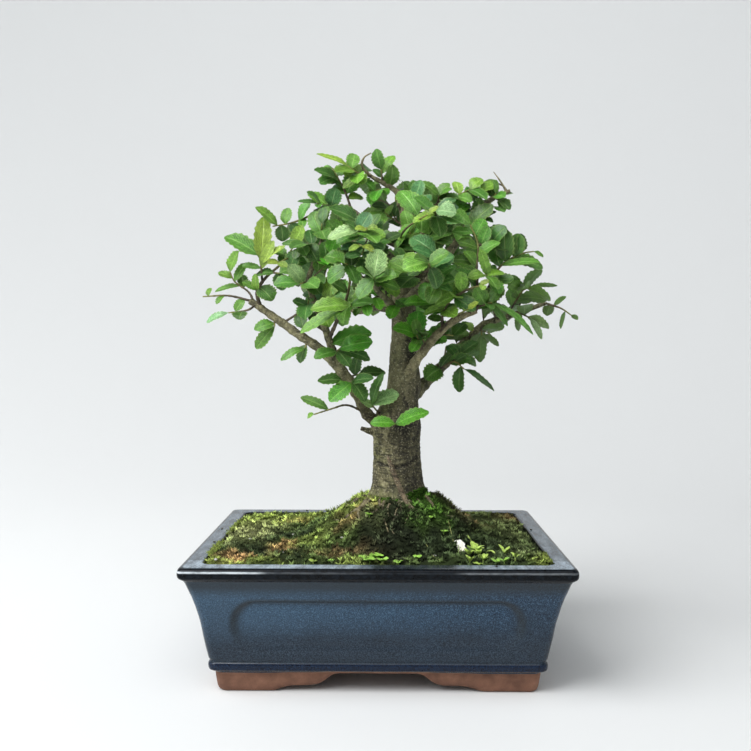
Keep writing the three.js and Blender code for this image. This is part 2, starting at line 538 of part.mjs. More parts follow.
// The pot's mouth, drawn in towards the tree by each ring's factor and lifted on to a height rule.
function groundRings(height) {
  const mouth = insetLoop(11.1 + GAP, 0, INNER_CORNER, ...RING_STEPS);
  return RINGS.map((factor) => mouth.map((p) => {
    const x = TREE_X + (p.x - TREE_X) * factor;
    const y = p.y * factor;
    return vec(x, y, height(x, y));
  }));
}

function soil(plug) {
  const sides = [[21.5, FLOOR_TOP + GAP], [19.3, 16], [13, 50], [11.5, 60]]
    .map(([inset, z]) => insetLoop(inset, z, INNER_CORNER, ...RING_STEPS));
  let body = loft([...sides, ...groundRings(soilHeight)]);
  for (const side of [-1, 1]) {
    const width = SCREEN_SIZE + 2 * GAP;
    const top = FLOOR_TOP + 2 * GAP + SCREEN_THICKNESS;
    body = body.subtract(block(width, width, 4, side * DRAIN_X, 0, top - 2));
  }
  return body.subtract(plug);
}

function moss(plug, stems) {
  const under = groundRings((x, y) => soilHeight(x, y) + GAP);
  let body = loft([...under, ...groundRings(mossHeight).reverse()], true).subtract(plug);
  for (const stem of stems) body = body.subtract(stem);
  return largestBody(body);
}

// The wood. extra makes every surface stand out by that much, for the clearance cut round it.
function trunk(extra) {
  const loops = TRUNK.map(([z, x, radius, lobe], level) => Array.from({ length: TRUNK_SIDES }, (_, i) => {
    const angle = (2 * Math.PI * i) / TRUNK_SIDES;
    const r = radius * (1 + lobe * Math.cos(TRUNK_LOBES * angle + 0.12 * level)) + extra;
    return vec(x + r * Math.cos(angle), r * Math.sin(angle), z);
  }));
  loops[0].forEach((p) => { p.z -= extra; });
  return loft(loops);
}

function branch({ r: [foot, end], sides, via }, extra) {
  const points = via.map(placed);
  if (extra) {
    const last = points.at(-1);
    last.addScaledVector(last.clone().sub(points.at(-2)).normalize(), extra);
  }
  return tube(points, (t) => foot + (end - foot) * t + extra, sides, Math.ceil(1.25 * (via.length - 1)));
}

const wood = (extra) => fused([trunk(extra), ...BRANCHES.map((one) => branch(one, extra))]);

// Leaves. A leaf is its foot, its direction, its face's normal, its length and its width.
function makeLeaf(foot, tip, face, width) {
  const along = tip.clone().sub(foot);
  const length = along.length();
  along.normalize();
  const up = face.clone().addScaledVector(along, -face.dot(along)).normalize();
  return { foot, along, up, side: up.clone().cross(along), length, half: width / 2 };
}

// A point of the blade: u runs from foot to tip, and v from one edge to the other.
function bladePoint(leaf, u, across, offset = 0) {
  const lift = LEAF_FOLD * Math.abs(across) + LEAF_ARCH * leaf.length * u * (1 - u) + offset;
  return leaf.foot.clone()
    .addScaledVector(leaf.along, u * leaf.length)
    .addScaledVector(leaf.side, across)
    .addScaledVector(leaf.up, lift);
}

// Faces between two lines of points, stepping to whichever next point lies nearer the foot.
function strip(left, right, turned) {
  const faces = [];
  for (let i = 0, j = 0; i < left.length - 1 || j < right.length - 1;) {
    const stepRight = i === left.length - 1 || (j < right.length - 1 && right[j + 1].u <= left[i + 1].u);
    const third = stepRight ? right[j + 1] : left[i + 1];
    const face = [left[i].index, right[j].index, third.index];
    if (new Set(face).size === 3) faces.push(turned ? face.reverse() : face);
    if (stepRight) j += 1;
    else i += 1;
  }
  return faces;
}

// The blade is thickest along the rib beneath it, and runs out to a thin toothed edge.
// Its foot is sunk into the twig.
function leafSolid(leaf) {
  const points = [];
  const corner = (u, point) => ({ u, index: points.push(point) - 1 });
  const foot = corner(0, leaf.foot.clone().addScaledVector(leaf.along, -LEAF_SINK));
  const tip = corner(1, bladePoint(leaf, 1, 0));
  const [left, right] = [1, -1].map((side) => [
    foot, ...LEAF_OUTLINE.map(([u, w]) => corner(u, bladePoint(leaf, u, side * w * leaf.half))), tip,
  ]);
  const rib = [foot, ...LEAF_RIB.map(([u, deep]) => corner(u, bladePoint(leaf, u, 0, -deep))), tip];
  return solidFromFaces(points, [
    ...strip(right, left, true),
    ...strip(rib, left, false),
    ...strip(rib, right, true),
  ]);
}

// Points spread over the outer part of a blade, for keeping leaves clear of each other and of the wood.
function bladeSamples(leaf) {
  const samples = [];
  for (const [u, w] of [[0.3, 0.75], [0.44, 1], [0.58, 0.95], [0.72, 0.84], [0.86, 0.45], [1, 0]]) {
    for (const v of [-1, -0.5, 0, 0.5, 1]) samples.push(bladePoint(leaf, u, v * w * leaf.half));
  }
  return samples;
}

const near = (samples, others, reach) =>
  samples.some((p) => others.some((q) => p.distanceToSquared(q) < reach * reach));

// Points along a tube's middle line, each with the tube's radius there.
function lineSamples(via, foot, end) {
  const course = courseThrough(via);
  const count = Math.ceil(course.length / 2);
  return Array.from({ length: count + 1 },
    (_, i) => [course.at((course.length * i) / count), foot + ((end - foot) * i) / count]);
}

// Every leaf of a twig in order from its end back, each with its foot moved clear of the one before.
function leafFeet({ via, own = [], more = RULE_LEAF_COUNT }) {
  const course = courseThrough(via.map(placed));
  const places = [
    ...own.map(([at, ...look]) => ({ at, look })),
    ...Array.from({ length: more }, (_, k) => ({ at: 0.3 + (0.7 * (k + 0.4)) / more })),
  ].sort((one, other) => other.at - one.at);
  let free = course.length;
  for (const place of places) {
    place.s = Math.min(place.at * course.length, free);
    place.foot = course.at(place.s);
    place.way = course.way(place.s);
    free = place.s - LEAF_SPACING;
  }
  return places;
}

// Leaves turn their faces up and outwards, to the front on the near side and to the back on the far side.
const facing = (y, seed, trial) => vec(0.9 * (chance(seed, trial + 0.5) - 0.5), y < 20 ? -0.75 : 0.7, 0.7);

// A leaf of the outline, with its tip bent forwards or back.
function ownLeaf({ foot, look: [x, z, width] }, seed, trial) {
  const reach = 5 + 0.5 * trial;
  const tip = placed([x, foot.y + reach * 2 * (chance(seed, trial) - 0.5), z]);
  return makeLeaf(foot, tip, facing(foot.y, seed, trial), width);
}

// A leaf that follows the twig's rule: at 35 to 80 degrees to it, alternately left and right.
function ruleLeaf({ foot, way }, long, seed, trial) {
  const face = facing(foot.y, seed, trial);
  const side = face.clone().cross(way).normalize();
  const turn = THREE.MathUtils.degToRad(35 + 45 * chance(seed, trial + 0.2));
  const hand = (Math.floor(seed) + trial) % 2 ? 1 : -1;
  const dip = 0.5 * (chance(seed, trial + 0.7) - 0.6);
  const along = way.clone().multiplyScalar(Math.cos(turn))
    .addScaledVector(side, hand * Math.sin(turn)).addScaledVector(vec(0, 0, 1), dip).normalize();
  const length = long * (0.75 + 0.4 * chance(seed, trial + 0.9));
  const tip = foot.clone().addScaledVector(along, length);
  return makeLeaf(foot, tip, face, RULE_LEAF_SLIMNESS * length);
}

// Grows the leaves of every spray. Each leaf is tried at one angle after another,
// until it is clear of the wood, the other sprays' twigs and the leaves that are already there.
function collectSprays() {
  const woodLine = [
    ...lineSamples(TRUNK.map(([z, x]) => vec(x, 0, z)), 13, 3),
    ...BRANCHES.flatMap(({ r, via }) => lineSamples(via.map(placed), ...r)),
  ];
  const names = Object.keys(SPRAYS);
  const twigLines = names.map((name) => SPRAYS[name]
    .flatMap(({ via, radius = TWIG_RADIUS }) => lineSamples(via.map(placed), radius, TWIG_END_RADIUS)));
  const leaves = Object.fromEntries(names.map((name) => [name, []]));
  const grown = [];

  const clearOf = (leaf, spray) => {
    const samples = bladeSamples(leaf);
    const middle = bladePoint(leaf, 0.6, 0);
    const blocked = (line) => line.some(([p, r]) => middle.distanceTo(p) < leaf.length
      && near(samples, [p], r + WOOD_CLEARANCE));
    if (blocked(woodLine) || twigLines.some((line, k) => k !== spray && blocked(line))) return false;
    return !grown.some((other) => middle.distanceTo(other.middle) < (leaf.length + other.length) * 0.6
      && near(samples, other.samples, LEAF_CLEARANCE));
  };
  const grow = (trials, spray, make) => {
    for (let trial = 0; trial < trials; trial += 1) {
      const leaf = make(trial);
      if (clearOf(leaf, spray)) {
        grown.push({ samples: bladeSamples(leaf), middle: bladePoint(leaf, 0.6, 0), length: leaf.length });
        leaves[names[spray]].push(leaf);
        return;
      }
    }
  };
  for (const outline of [true, false]) {
    names.forEach((name, spray) => SPRAYS[name].forEach((twig, t) => leafFeet(twig).forEach((place, k) => {
      const seed = 100 * spray + 20 * t + k + 1;
      if (outline !== Boolean(place.look)) return;
      const long = twig.long ?? RULE_LEAF_LENGTH;
      if (outline) grow(OUTLINE_LEAF_TRIALS, spray, (trial) => ownLeaf(place, seed, trial));
      else grow(RULE_LEAF_TRIALS, spray, (trial) => ruleLeaf(place, long, seed, trial));
    })));
  }
  return names.map((name) => ({ name, twigs: SPRAYS[name], leaves: leaves[name] }));
}

function spraySolid({ leaves, twigs }, clearance) {
  const stems = twigs.map(({ via, radius = TWIG_RADIUS }) => tube(via.map(placed),
    (t) => radius + (TWIG_END_RADIUS - radius) * t, TWIG_SIDES, Math.max(2, via.length - 1)));
  return largestBody(fused([...stems, ...leaves.map(leafSolid)]).subtract(clearance));
}

// Small plants: a short upright stem with its leaves spread round its top.
function weedSolid({ at: [x, y], leaves, long }, index) {
  const ground = mossHeight(x, y);
  const top = vec(x, y, ground + 2.5);
  const stem = new THREE.CylinderGeometry(0.6, 0.8, 4.5, 4);
  stem.rotateX(Math.PI / 2).translate(x, y, ground + 0.4);
  const blades = Array.from({ length: leaves }, (_, k) => {
    const angle = (2 * Math.PI * (k + 0.6 * chance(index, k))) / leaves;
    const way = vec(Math.cos(angle), Math.sin(angle), 0.5 + 0.6 * chance(index, k + 0.3)).normalize();
    const tip = top.clone().addScaledVector(way, long);
    return leafSolid(makeLeaf(top, tip, vec(-way.x, -way.y, 1.2), WEED_LEAF_WIDTH * long));
  });
  return fused([solidFromGeometry(stem), ...blades]);
}

function petalSolid() {
  const [x, y] = PETAL.at;
  const foot = vec(x, y, mossHeight(x, y) - 1.2);
  const tip = foot.clone().add(vec(1.4, 0.4, PETAL.long));
  return leafSolid(makeLeaf(foot, tip, vec(0.2, -1, 0.3), PETAL.width));
}

// The hole in the moss that a small plant or the petal stands in.
function stemHole({ at: [x, y], hole: radius = 1.3 }) {
  const hole = new THREE.CylinderGeometry(radius, radius, 6, 6);
  hole.rotateX(Math.PI / 2).translate(x, y, mossHeight(x, y) + 1);
  return solidFromGeometry(hole);
}

// Materials
const finish = (color, roughness) => new THREE.MeshStandardMaterial({ color, roughness, metalness: 0 });
const GLAZE = finish(0x24364f, 0.3);
const SOIL = finish(0x2b2019, 0.95);
const MOSS = finish(0x4a5a1e, 0.95);
const BARK = finish(0x574c3a, 0.9);
const LEAF = finish(0x3f7a2c, 0.5);
const WEED = finish(0x7fb53a, 0.55);
const PETAL_PALE = finish(0xd8d6b0, 0.6);
const SCREEN = finish(0x20231f, 0.6);

// The whole object
const root = new THREE.Group();
root.name = "chinese_elm_bonsai";
const plug = trunk(GAP);
const clearance = wood(GAP);

root.add(meshFromSolid("pot", pot(), GLAZE));
root.add(meshFromSolid("drain_screen_left", drainScreen(-1), SCREEN));
root.add(meshFromSolid("drain_screen_right", drainScreen(1), SCREEN));
root.add(meshFromSolid("soil", soil(plug), SOIL));
root.add(meshFromSolid("moss", moss(plug, [...Object.values(WEEDS), PETAL].map(stemHole)), MOSS));
root.add(meshFromSolid("tree_wood", wood(0), BARK));
for (const spray of collectSprays()) {
  root.add(meshFromSolid(`spray_${spray.name}`, spraySolid(spray, clearance), LEAF));
}
Object.entries(WEEDS).forEach(([name, weed], index) => {
  root.add(meshFromSolid(name, weedSolid(weed, index + 1), WEED));
});
root.add(meshFromSolid("fallen_petal", petalSolid(), PETAL_PALE));

// The origin is the middle of the whole object's box, on the surface that the pot stands on.
const box = new THREE.Box3().setFromObject(root);
const middle = box.getCenter(vec(0, 0, 0));
root.children.forEach((mesh) => mesh.position.set(-middle.x, -middle.y, -box.min.z));

export default root;
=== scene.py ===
# %% [markdown]
# # A chinese elm bonsai in a blue-glazed pot
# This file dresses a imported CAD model: the model fixes where everything is and how large it is, and
# each cell here puts a finer surface or a better finish in the same place.
# The tree is worked out in the pot's own millimetres, with the middle of the pot at X = Y = 0, and
# turned into the frame's metres at the last moment, when a mesh is made.

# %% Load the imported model
import itertools
import math
import bpy
import numpy as np
from mathutils import Matrix, Vector


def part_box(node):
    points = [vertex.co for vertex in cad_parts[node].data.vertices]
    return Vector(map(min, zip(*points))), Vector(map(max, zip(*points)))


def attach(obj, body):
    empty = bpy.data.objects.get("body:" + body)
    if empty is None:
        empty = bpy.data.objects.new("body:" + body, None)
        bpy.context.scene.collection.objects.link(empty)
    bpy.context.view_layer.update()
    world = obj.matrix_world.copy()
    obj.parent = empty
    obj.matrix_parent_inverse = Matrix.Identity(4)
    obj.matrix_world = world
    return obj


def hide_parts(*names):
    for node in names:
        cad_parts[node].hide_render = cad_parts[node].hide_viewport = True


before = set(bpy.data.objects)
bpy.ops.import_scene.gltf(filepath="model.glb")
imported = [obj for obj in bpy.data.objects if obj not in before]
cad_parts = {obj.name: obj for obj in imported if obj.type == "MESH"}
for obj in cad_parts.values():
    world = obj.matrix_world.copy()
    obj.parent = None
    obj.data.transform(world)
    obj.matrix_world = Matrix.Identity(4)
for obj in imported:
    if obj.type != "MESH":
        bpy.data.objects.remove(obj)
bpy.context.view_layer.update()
MM = 0.001
pot_low, pot_high = (np.array(corner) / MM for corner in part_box("pot"))
POT_MIDDLE = np.append((pot_low + pot_high)[:2] / 2, 0)
print("CAD nodes:", len(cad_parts), " middle of the pot, mm:", POT_MIDDLE.round(2))

# %% [markdown]
# ## Helpers for surfaces
# Every new piece is a grid of points that numpy works out at once, and a list of faces between them.
# A closed skin over rings is the commonest case: a pot wall, a trunk, a twig and a stone are all
# rings, one after another, with a fan over each end.
# The noise is value noise: random numbers on a lattice of a given size, blended smoothly between the
# lattice's corners. It is worked out from the point itself, so it is the same on every run.

# %% Surface helpers
def smoothstep(low, high, value):
    """0 below low, 1 above high, and t * t * (3 - 2 t) between them."""
    t = np.clip((value - low) / (high - low), 0, 1)
    return t * t * (3 - 2 * t)


def unit(vectors):
    """Each vector divided by its length."""
    vectors = np.asarray(vectors, float)
    return vectors / np.maximum(np.linalg.norm(vectors, axis=-1, keepdims=True), 1e-9)


def noise(points, size, seed=0):
    """Value noise from -1 to 1 on a lattice of that size: each of the eight corners' random numbers,
    weighted by smoothstep weights along x, y and z."""
    cell = np.floor(points / size)
    part = points / size - cell
    part = part * part * (3 - 2 * part)
    total = 0
    for corner in itertools.product((0, 1), repeat=3):
        key = (cell + corner) @ [12.9898, 78.233, 37.719] + 3.17 * seed
        drawn = np.sin(key) * 43758.5453
        weight = np.prod(np.where(np.array(corner, bool), part, 1 - part), axis=-1)
        total = total + weight * (drawn - np.floor(drawn))
    return 2 * total - 1


def grid_faces(rows, columns, around=True):
    """Quads between the points of a grid stored row after row. around joins the last column to the
    first. With rings that run anticlockwise and climb, the faces look outwards."""
    column = np.arange(columns if around else columns - 1)[None]
    row = np.arange(rows - 1)[:, None] * columns
    following = (column + 1) % columns
    return np.stack([row + column, row + following, row + columns + following,
                     row + columns + column], -1).reshape(-1, 4)


def closed_skin(grid, ends=None):
    """The part made by a grid of rings: quads between the rings, and a fan of triangles over the
    first ring and the last, from the two ends given or from the rings' middles."""
    rows, columns, _ = grid.shape
    ends = [grid[0].mean(0), grid[-1].mean(0)] if ends is None else ends
    first = np.arange(columns)
    last = first + (rows - 1) * columns
    poles = np.stack([np.roll(first, -1), first, np.full(columns, rows * columns)], -1)
    tops = np.stack([last, np.roll(last, -1), np.full(columns, rows * columns + 1)], -1)
    return turned_out(np.vstack([grid.reshape(-1, 3), ends]),
                      [grid_faces(rows, columns), np.vstack([poles, tops])])


def turned_out(points, faces):
    """A part whose faces look outwards. The volume inside is the sum over triangles of
    a . (b x c) / 6, and where it comes out below 0, every face is turned over."""
    total = 0
    for group in faces:
        corners = points[group]
        for k in range(1, group.shape[1] - 1):
            total += np.einsum("ij,ij->", corners[:, 0], np.cross(corners[:, k], corners[:, k + 1]))
    return {"points": points, "faces": [group[:, ::-1] for group in faces] if total < 0 else faces}


def make_piece(name, parts, finishes, replaced=()):
    """One object from closed parts, and how many triangles it has. A part holds points (n, 3) in
    millimetres, faces (arrays of triangles or quads), and, where it needs them, finish (the number
    of each face's material), values and colours (arrays for attributes), uv and rim (points whose
    edges stay sharp)."""
    loops, sizes, numbers, offset = [], [], [], 0
    for part in parts:
        numbers.append(np.broadcast_to(part.get("finish", 0), sum(map(len, part["faces"]))))
        for faces in part["faces"]:
            loops.append((faces + offset).ravel())
            sizes.append(np.full(len(faces), faces.shape[1]))
        offset += len(part["points"])
    points = np.vstack([part["points"] for part in parts])
    loops, sizes = np.concatenate(loops), np.concatenate(sizes)

    mesh = bpy.data.meshes.new(name)
    mesh.vertices.add(len(points))
    mesh.vertices.foreach_set("co", ((points + POT_MIDDLE) * MM).astype(np.float32).ravel())
    mesh.loops.add(len(loops))
    mesh.loops.foreach_set("vertex_index", loops)
    mesh.polygons.add(len(sizes))
    mesh.polygons.foreach_set("loop_start", np.concatenate([[0], np.cumsum(sizes)[:-1]]))
    mesh.update(calc_edges=True)
    mesh.polygons.foreach_set("material_index", np.concatenate(numbers))
    mesh.shade_smooth()

    def gathered(held, key, width):
        """A row for each point of every part: what is held under the key, or zeros."""
        rows = [np.reshape(one.get(key, np.zeros(width)), (-1, width)) for one in held]
        return np.vstack([np.broadcast_to(row, (len(part["points"]), width))
                          for row, part in zip(rows, parts)]).astype(float)

    for group, kind, field, width in (("values", "FLOAT", "value", 1),
                                      ("colours", "FLOAT_COLOR", "color", 3)):
        held = [part.get(group, {}) for part in parts]
        for key in sorted(set().union(*held)):
            rows = gathered(held, key, width)
            if width == 3:
                rows = np.column_stack([rows, np.ones(len(rows))])
            mesh.attributes.new(key, kind, "POINT").data.foreach_set(field, rows.ravel())
    if any("uv" in part for part in parts):
        layer = mesh.uv_layers.new(name="UVMap")
        layer.data.foreach_set("uv", gathered(parts, "uv", 2)[loops].ravel())
    if any("rim" in part for part in parts):
        rim = gathered(parts, "rim", 1).ravel() > 0.5
        ends = np.zeros(2 * len(mesh.edges), np.int32)
        mesh.edges.foreach_get("vertices", ends)
        sharp = mesh.attributes.new("sharp_edge", "BOOLEAN", "EDGE")
        sharp.data.foreach_set("value", rim[ends.reshape(-1, 2)].all(1))
    for finish in finishes:
        mesh.materials.append(finish)
    piece = bpy.data.objects.new(name, mesh)
    bpy.context.scene.collection.objects.link(piece)
    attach(piece, "root")
    if replaced:
        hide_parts(*replaced)
    return piece, int((sizes - 2).sum())

# %% [markdown]
# ## The camera
# The photograph was taken from the front, a little above the moss, with the trunk nearly upright.
# The pot's four lip corners, whose true places are known, give the camera: each has to land on its
# own spot in the picture, and only one distance, height and lens do that.

# %% Camera
EYE = np.array([4.83, -486.34, 178.5])
YAW, PITCH = -0.0139, -0.0332
FOCAL_PIXELS, FRAME_PIXELS, SENSOR = 831.33, 751, 36.0

camera_data = bpy.data.cameras.new("camera")
camera_data.sensor_width = SENSOR
camera_data.lens = FOCAL_PIXELS / FRAME_PIXELS * SENSOR
camera_data.clip_start, camera_data.clip_end = 0.01, 20
camera = bpy.data.objects.new("camera", camera_data)
bpy.context.scene.collection.objects.link(camera)
forward = Vector((math.sin(YAW) * math.cos(PITCH), math.cos(YAW) * math.cos(PITCH), math.sin(PITCH)))
rightward = Vector((math.cos(YAW), -math.sin(YAW), 0))
upward = rightward.cross(forward)
camera.matrix_world = Matrix.Translation((EYE + POT_MIDDLE) * MM) @ Matrix(
    (rightward, upward, -forward)).transposed().to_4x4()
bpy.context.scene.camera = camera
print("lens, mm:", round(camera_data.lens, 2), " eye above the table, mm:", EYE[2])

# %% [markdown]
# ## A short way to write materials
# A finish is a Principled shader fed by noise and by values that the mesh carries.
# A Finish holds the material and adds its nodes. Each node's output comes back as a Value, which can
# be multiplied, added, held between levels, ramped to a colour or coated with another colour, so that
# a finish reads like a recipe.
# Colours are written as they look on a screen, 0 to 255, and turned into linear light here.

# %% Material helpers
def linear(colour):
    """Screen colour 0-255 to linear light: c / 12.92 when small, else ((c + 0.055) / 1.055) ^ 2.4."""
    c = np.asarray(colour, float) / 255
    return np.where(c <= 0.04045, c / 12.92, ((c + 0.055) / 1.055) ** 2.4)


class Value:
    """A value or a colour of a finish, that is one output of a node."""

    def __init__(self, paint, socket):
        self.paint, self.socket = paint, socket

    def maths(self, how, other=0.0):
        return self.paint.node("Math", {0: self, 1: other}, 0, operation=how)

    def __mul__(self, other):
        return self.maths("MULTIPLY", other)

    def __add__(self, other):
        return self.maths("ADD", other)

    def __sub__(self, other):
        return self.maths("SUBTRACT", other)

    def levels(self, low, high, to_low=0.0, to_high=1.0):
        """The value moved from low-high to to_low-to_high, and held at the ends."""
        return self.paint.node("MapRange", {"Value": self, "From Min": low, "From Max": high,
                                            "To Min": to_low, "To Max": to_high}, "Result")

    def ramp(self, *stops):
        """A colour for the value, from stops of (value, screen colour)."""
        made = self.paint.node("ValToRGB", {"Fac": self}, "Color")
        elements = made.socket.node.color_ramp.elements
        while len(elements) < len(stops):
            elements.new(0.5)
        for element, (at, colour) in zip(elements, stops):
            element.position, element.color = at, (*linear(colour), 1)
        return made

    def coat(self, amount, other, how="MIX"):
        """This colour with an amount of another over it, which may be a screen colour."""
        other = other if isinstance(other, Value) else (*linear(other), 1)
        return self.paint.node("Mix", {0: amount, 6: self, 7: other}, 2, data_type="RGBA",
                               blend_type=how)


class Finish:
    """A material. The fixed values are set on the shader's own sockets."""

    def __init__(self, name, roughness, **fixed):
        self.material = bpy.data.materials.new(name)
        self.material.use_nodes = True
        self.tree = self.material.node_tree
        self.shader = self.tree.nodes["Principled BSDF"]
        for socket, value in {"Roughness": roughness, **fixed}.items():
            self.shader.inputs[socket.replace("_", " ")].default_value = value

    def node(self, kind, inputs, output, **settings):
        """Adds one node. inputs maps a socket's name or number to a Value or to a plain value."""
        made = self.tree.nodes.new("ShaderNode" + kind)
        for key, value in settings.items():
            setattr(made, key, value)
        for key, value in inputs.items():
            if isinstance(value, Value):
                self.tree.links.new(value.socket, made.inputs[key])
            else:
                made.inputs[key].default_value = value
        return Value(self, made.outputs[output])

    def place(self, stretch=(1, 1, 1)):
        """Object coordinates, stretched along each axis."""
        where = self.node("TexCoord", {}, "Object")
        return self.node("Mapping", {"Vector": where, "Scale": stretch}, "Vector")

    def axis(self, letter):
        """How far along one axis of the frame a point is, in metres."""
        return self.node("SeparateXYZ", {0: self.place()}, letter)

    def grain(self, size_mm, detail=3, rough=0.55, stretch=(1, 1, 1)):
        """Noise from 0 to 1 whose blotches are about size_mm across."""
        return self.node("TexNoise", {"Vector": self.place(stretch), "Scale": 1000 / size_mm,
                                      "Detail": detail, "Roughness": rough}, "Fac")

    def carried(self, name, output="Fac"):
        """A value or, as Color, a colour that the mesh carries at each point."""
        return self.node("Attribute", {}, output, attribute_name=name)

    def dress(self, colour, height=None, depth_mm=0.3, strength=0.6, **more):
        """Links the colour, a bump whose full height is depth_mm and what more is given to the
        shader, and gives the finished material."""
        if height:
            more["Normal"] = self.node("Bump", {"Height": height, "Distance": depth_mm * MM,
                                                "Strength": strength}, "Normal")
        for socket, value in {"Base_Color": colour, **more}.items():
            self.tree.links.new(value.socket, self.shader.inputs[socket.replace("_", " ")])
        return self.material


print("screen grey 128 as linear light:", linear(128).round(3))

# %% [markdown]
# ## Table, backdrop and light
# In the photograph the pot stands on white paper that sweeps up behind it, under broad soft lamps.
# A flat floor would end in a hard horizon, so the sweep is a bowl: a level disc whose edge curves up
# into a wall all round. It looks alike from every side, and the sky's light comes in over its rim.
# A large soft lamp stands to the left in front, because the trunk's left side is the bright one.

# %% Stage and light
def bowl(flat, bend, top, sides=96):
    """A surface of revolution: level out to radius flat, a quarter circle of radius bend, then a wall
    up to the height top."""
    turn = np.linspace(0, math.pi / 2, 24)
    radius = np.concatenate([[0.001, flat / 2], flat + bend * np.sin(turn), [flat + bend]])
    height = np.concatenate([[0, 0], bend * (1 - np.cos(turn)), [top]])
    angle = np.linspace(0, 2 * math.pi, sides, endpoint=False)
    x, y = radius[:, None] * np.cos(angle), radius[:, None] * np.sin(angle)
    points = np.stack([x, y, np.broadcast_to(height[:, None], x.shape)], -1).reshape(-1, 3)
    return points, grid_faces(len(radius), sides)[:, ::-1]


PAPER, DIM_PAPER = (0.72, 0.735, 0.74, 1), (0.34, 0.345, 0.35, 1)


def paper_finish():
    """Pale paper, only half as bright behind the camera, so that less light comes from there."""
    paint = Finish("white_paper", 0.9)
    dim = paint.axis("Y").levels(-0.36, -1.0)
    return paint.dress(paint.node("Mix", {0: dim, 6: PAPER, 7: DIM_PAPER}, 2, data_type="RGBA"))


points, faces = bowl(flat=0.55, bend=1.15, top=1.9)
sweep_mesh = bpy.data.meshes.new("paper_sweep")
sweep_mesh.from_pydata(points.tolist(), [], faces.tolist())
sweep_mesh.shade_smooth()
sweep_mesh.materials.append(paper_finish())
sweep = bpy.data.objects.new("paper_sweep", sweep_mesh)
bpy.context.scene.collection.objects.link(sweep)

SKY_COLOUR, SKY_STRENGTH = (0.97, 0.985, 1.0), 0.01
world = bpy.data.worlds.new("soft_sky")
bpy.context.scene.world = world
world.use_nodes = True
sky = world.node_tree.nodes["Background"].inputs
sky["Color"].default_value, sky["Strength"].default_value = (*SKY_COLOUR, 1), SKY_STRENGTH


def soft_lamp(name, place, aim, size, power):
    """A square white area lamp at place, metres, that looks at aim."""
    data = bpy.data.lights.new(name, "AREA")
    data.size, data.energy = size, power
    lamp = bpy.data.objects.new(name, data)
    lamp.location = place
    lamp.rotation_mode = "QUATERNION"
    lamp.rotation_quaternion = (Vector(aim) - Vector(place)).to_track_quat("-Z", "Y")
    lamp.visible_camera = False
    bpy.context.scene.collection.objects.link(lamp)


soft_lamp("key_left", (-0.95, -0.6, 1.3), (0, 0, 0.12), 1.2, 33)
soft_lamp("front_high", (0.1, -0.8, 1.4), (0, 0, 0), 1.2, 9)
soft_lamp("back_wall", (0.0, 0.5, 1.3), (0, 1.4, 0.9), 0.9, 3.9)
bpy.context.scene.view_settings.view_transform = "Standard"
print("stage: bowl", round(2 * points[:, 0].max(), 1), "m across, three soft lamps and a pale sky")

# %% [markdown]
# ## The pot
# A fired stoneware pot. Its wall is one profile carried round a rectangle with rounded corners: foot,
# dark band, leaning wall, cove, and a flat wide lip, then down the inside to the floor and back out
# underneath. The shallow panel on each side is not a separate piece but a dip in the wall, so the
# wall is pushed in where a rounded rectangle's distance rule says so. The four cloud feet come from
# lifting the foot ring's lower edge to the height of a cloud line between the corners.

# %% Pot: the profile and the loop round it
HALF_X, HALF_Y, POT_HEIGHT = 100.0, 77.0, 68.5
FOOT_TOP, UNDERSIDE = 11.7, 9.8
# The profile as [inset from the lip's outer edge, height], from the floor's middle outwards, up the
# inside, over the lip, down the outside, under the foot and back to the middle.
FLOOR_LINE = [[70, 14], [52, 14], [36, 14], [26, 14], [21, 14]]
INSIDE_LINE = [[18.8, 15.6], [15.8, 32], [12.6, 50], [11.1, 60], [10.9, 65]]
LIP_LINE = [[10.8, 66.6], [10.5, 67.6], [9.9, 68.2], [9, 68.45], [6, 68.5], [2.6, 68.5], [1.0, 68.4],
            [0.1, 67.9], [-0.45, 67], [-0.6, 66], [-0.6, 64.6], [-0.4, 63.6], [0.1, 62.8]]
WALL_LINE = [[0.9, 62.1], [1.8, 61.3], [2.5, 59.9], [3.3, 57.2], [4.1, 54.4], [5.1, 51.6], [6.4, 47],
             [7.6, 42], [8.4, 38.5], [9.2, 33.6], [9.9, 29], [11, 23], [11.9, 18.4], [12.4, 17.2],
             [12.8, 16.6], [12.4, 16.2], [11.9, 15.7], [11.8, 14.6], [11.95, 13.2], [12.2, 12.4],
             [12.9, 11.9], [14.2, 11.7]]
FOOT_LINE = [[14.9, 10.4], [15.3, 7], [15.9, 2.8], [16.4, 1], [17.2, 0.2], [18.6, 0], [21, 0],
             [23.4, 0], [24.6, 0.25], [25.2, 1]]
HOLLOW_LINE = [[24.9, 5], [24.6, 8.4], [24.2, 9.5], [25.5, 9.8], [36, 9.8], [52, 9.8], [70, 9.8]]
# The hollow line belongs to the foot below the first inset. The foot's inner face is over the second.
FOOT_BACK, INNER_FACE = 24.95, 24.5
WALL_STEP, LOOP_STEP, CORNER_STEPS = 0.9, 1.25, 12
PANEL_MIDDLE, PANEL_HALF_HEIGHT, PANEL_CORNER, PANEL_DEPTH = 37, 13, 12, 2.0
PANEL_HALF_FRONT, PANEL_HALF_SIDE = 74, 51
# One half of the cloud line between two feet, as distance from the middle and height.
CLOUD_X = [20.5, 22.5, 24, 25.6, 27, 28.5, 31, 34, 39, 44, 47, 50, 52.6, 55]
CLOUD_Z = [9.6, 9.2, 8.5, 7.2, 6, 4.9, 3.7, 3.1, 2.9, 2.8, 2.4, 1.5, 0.6, 0]
SIDE_CLOUD = 0.74


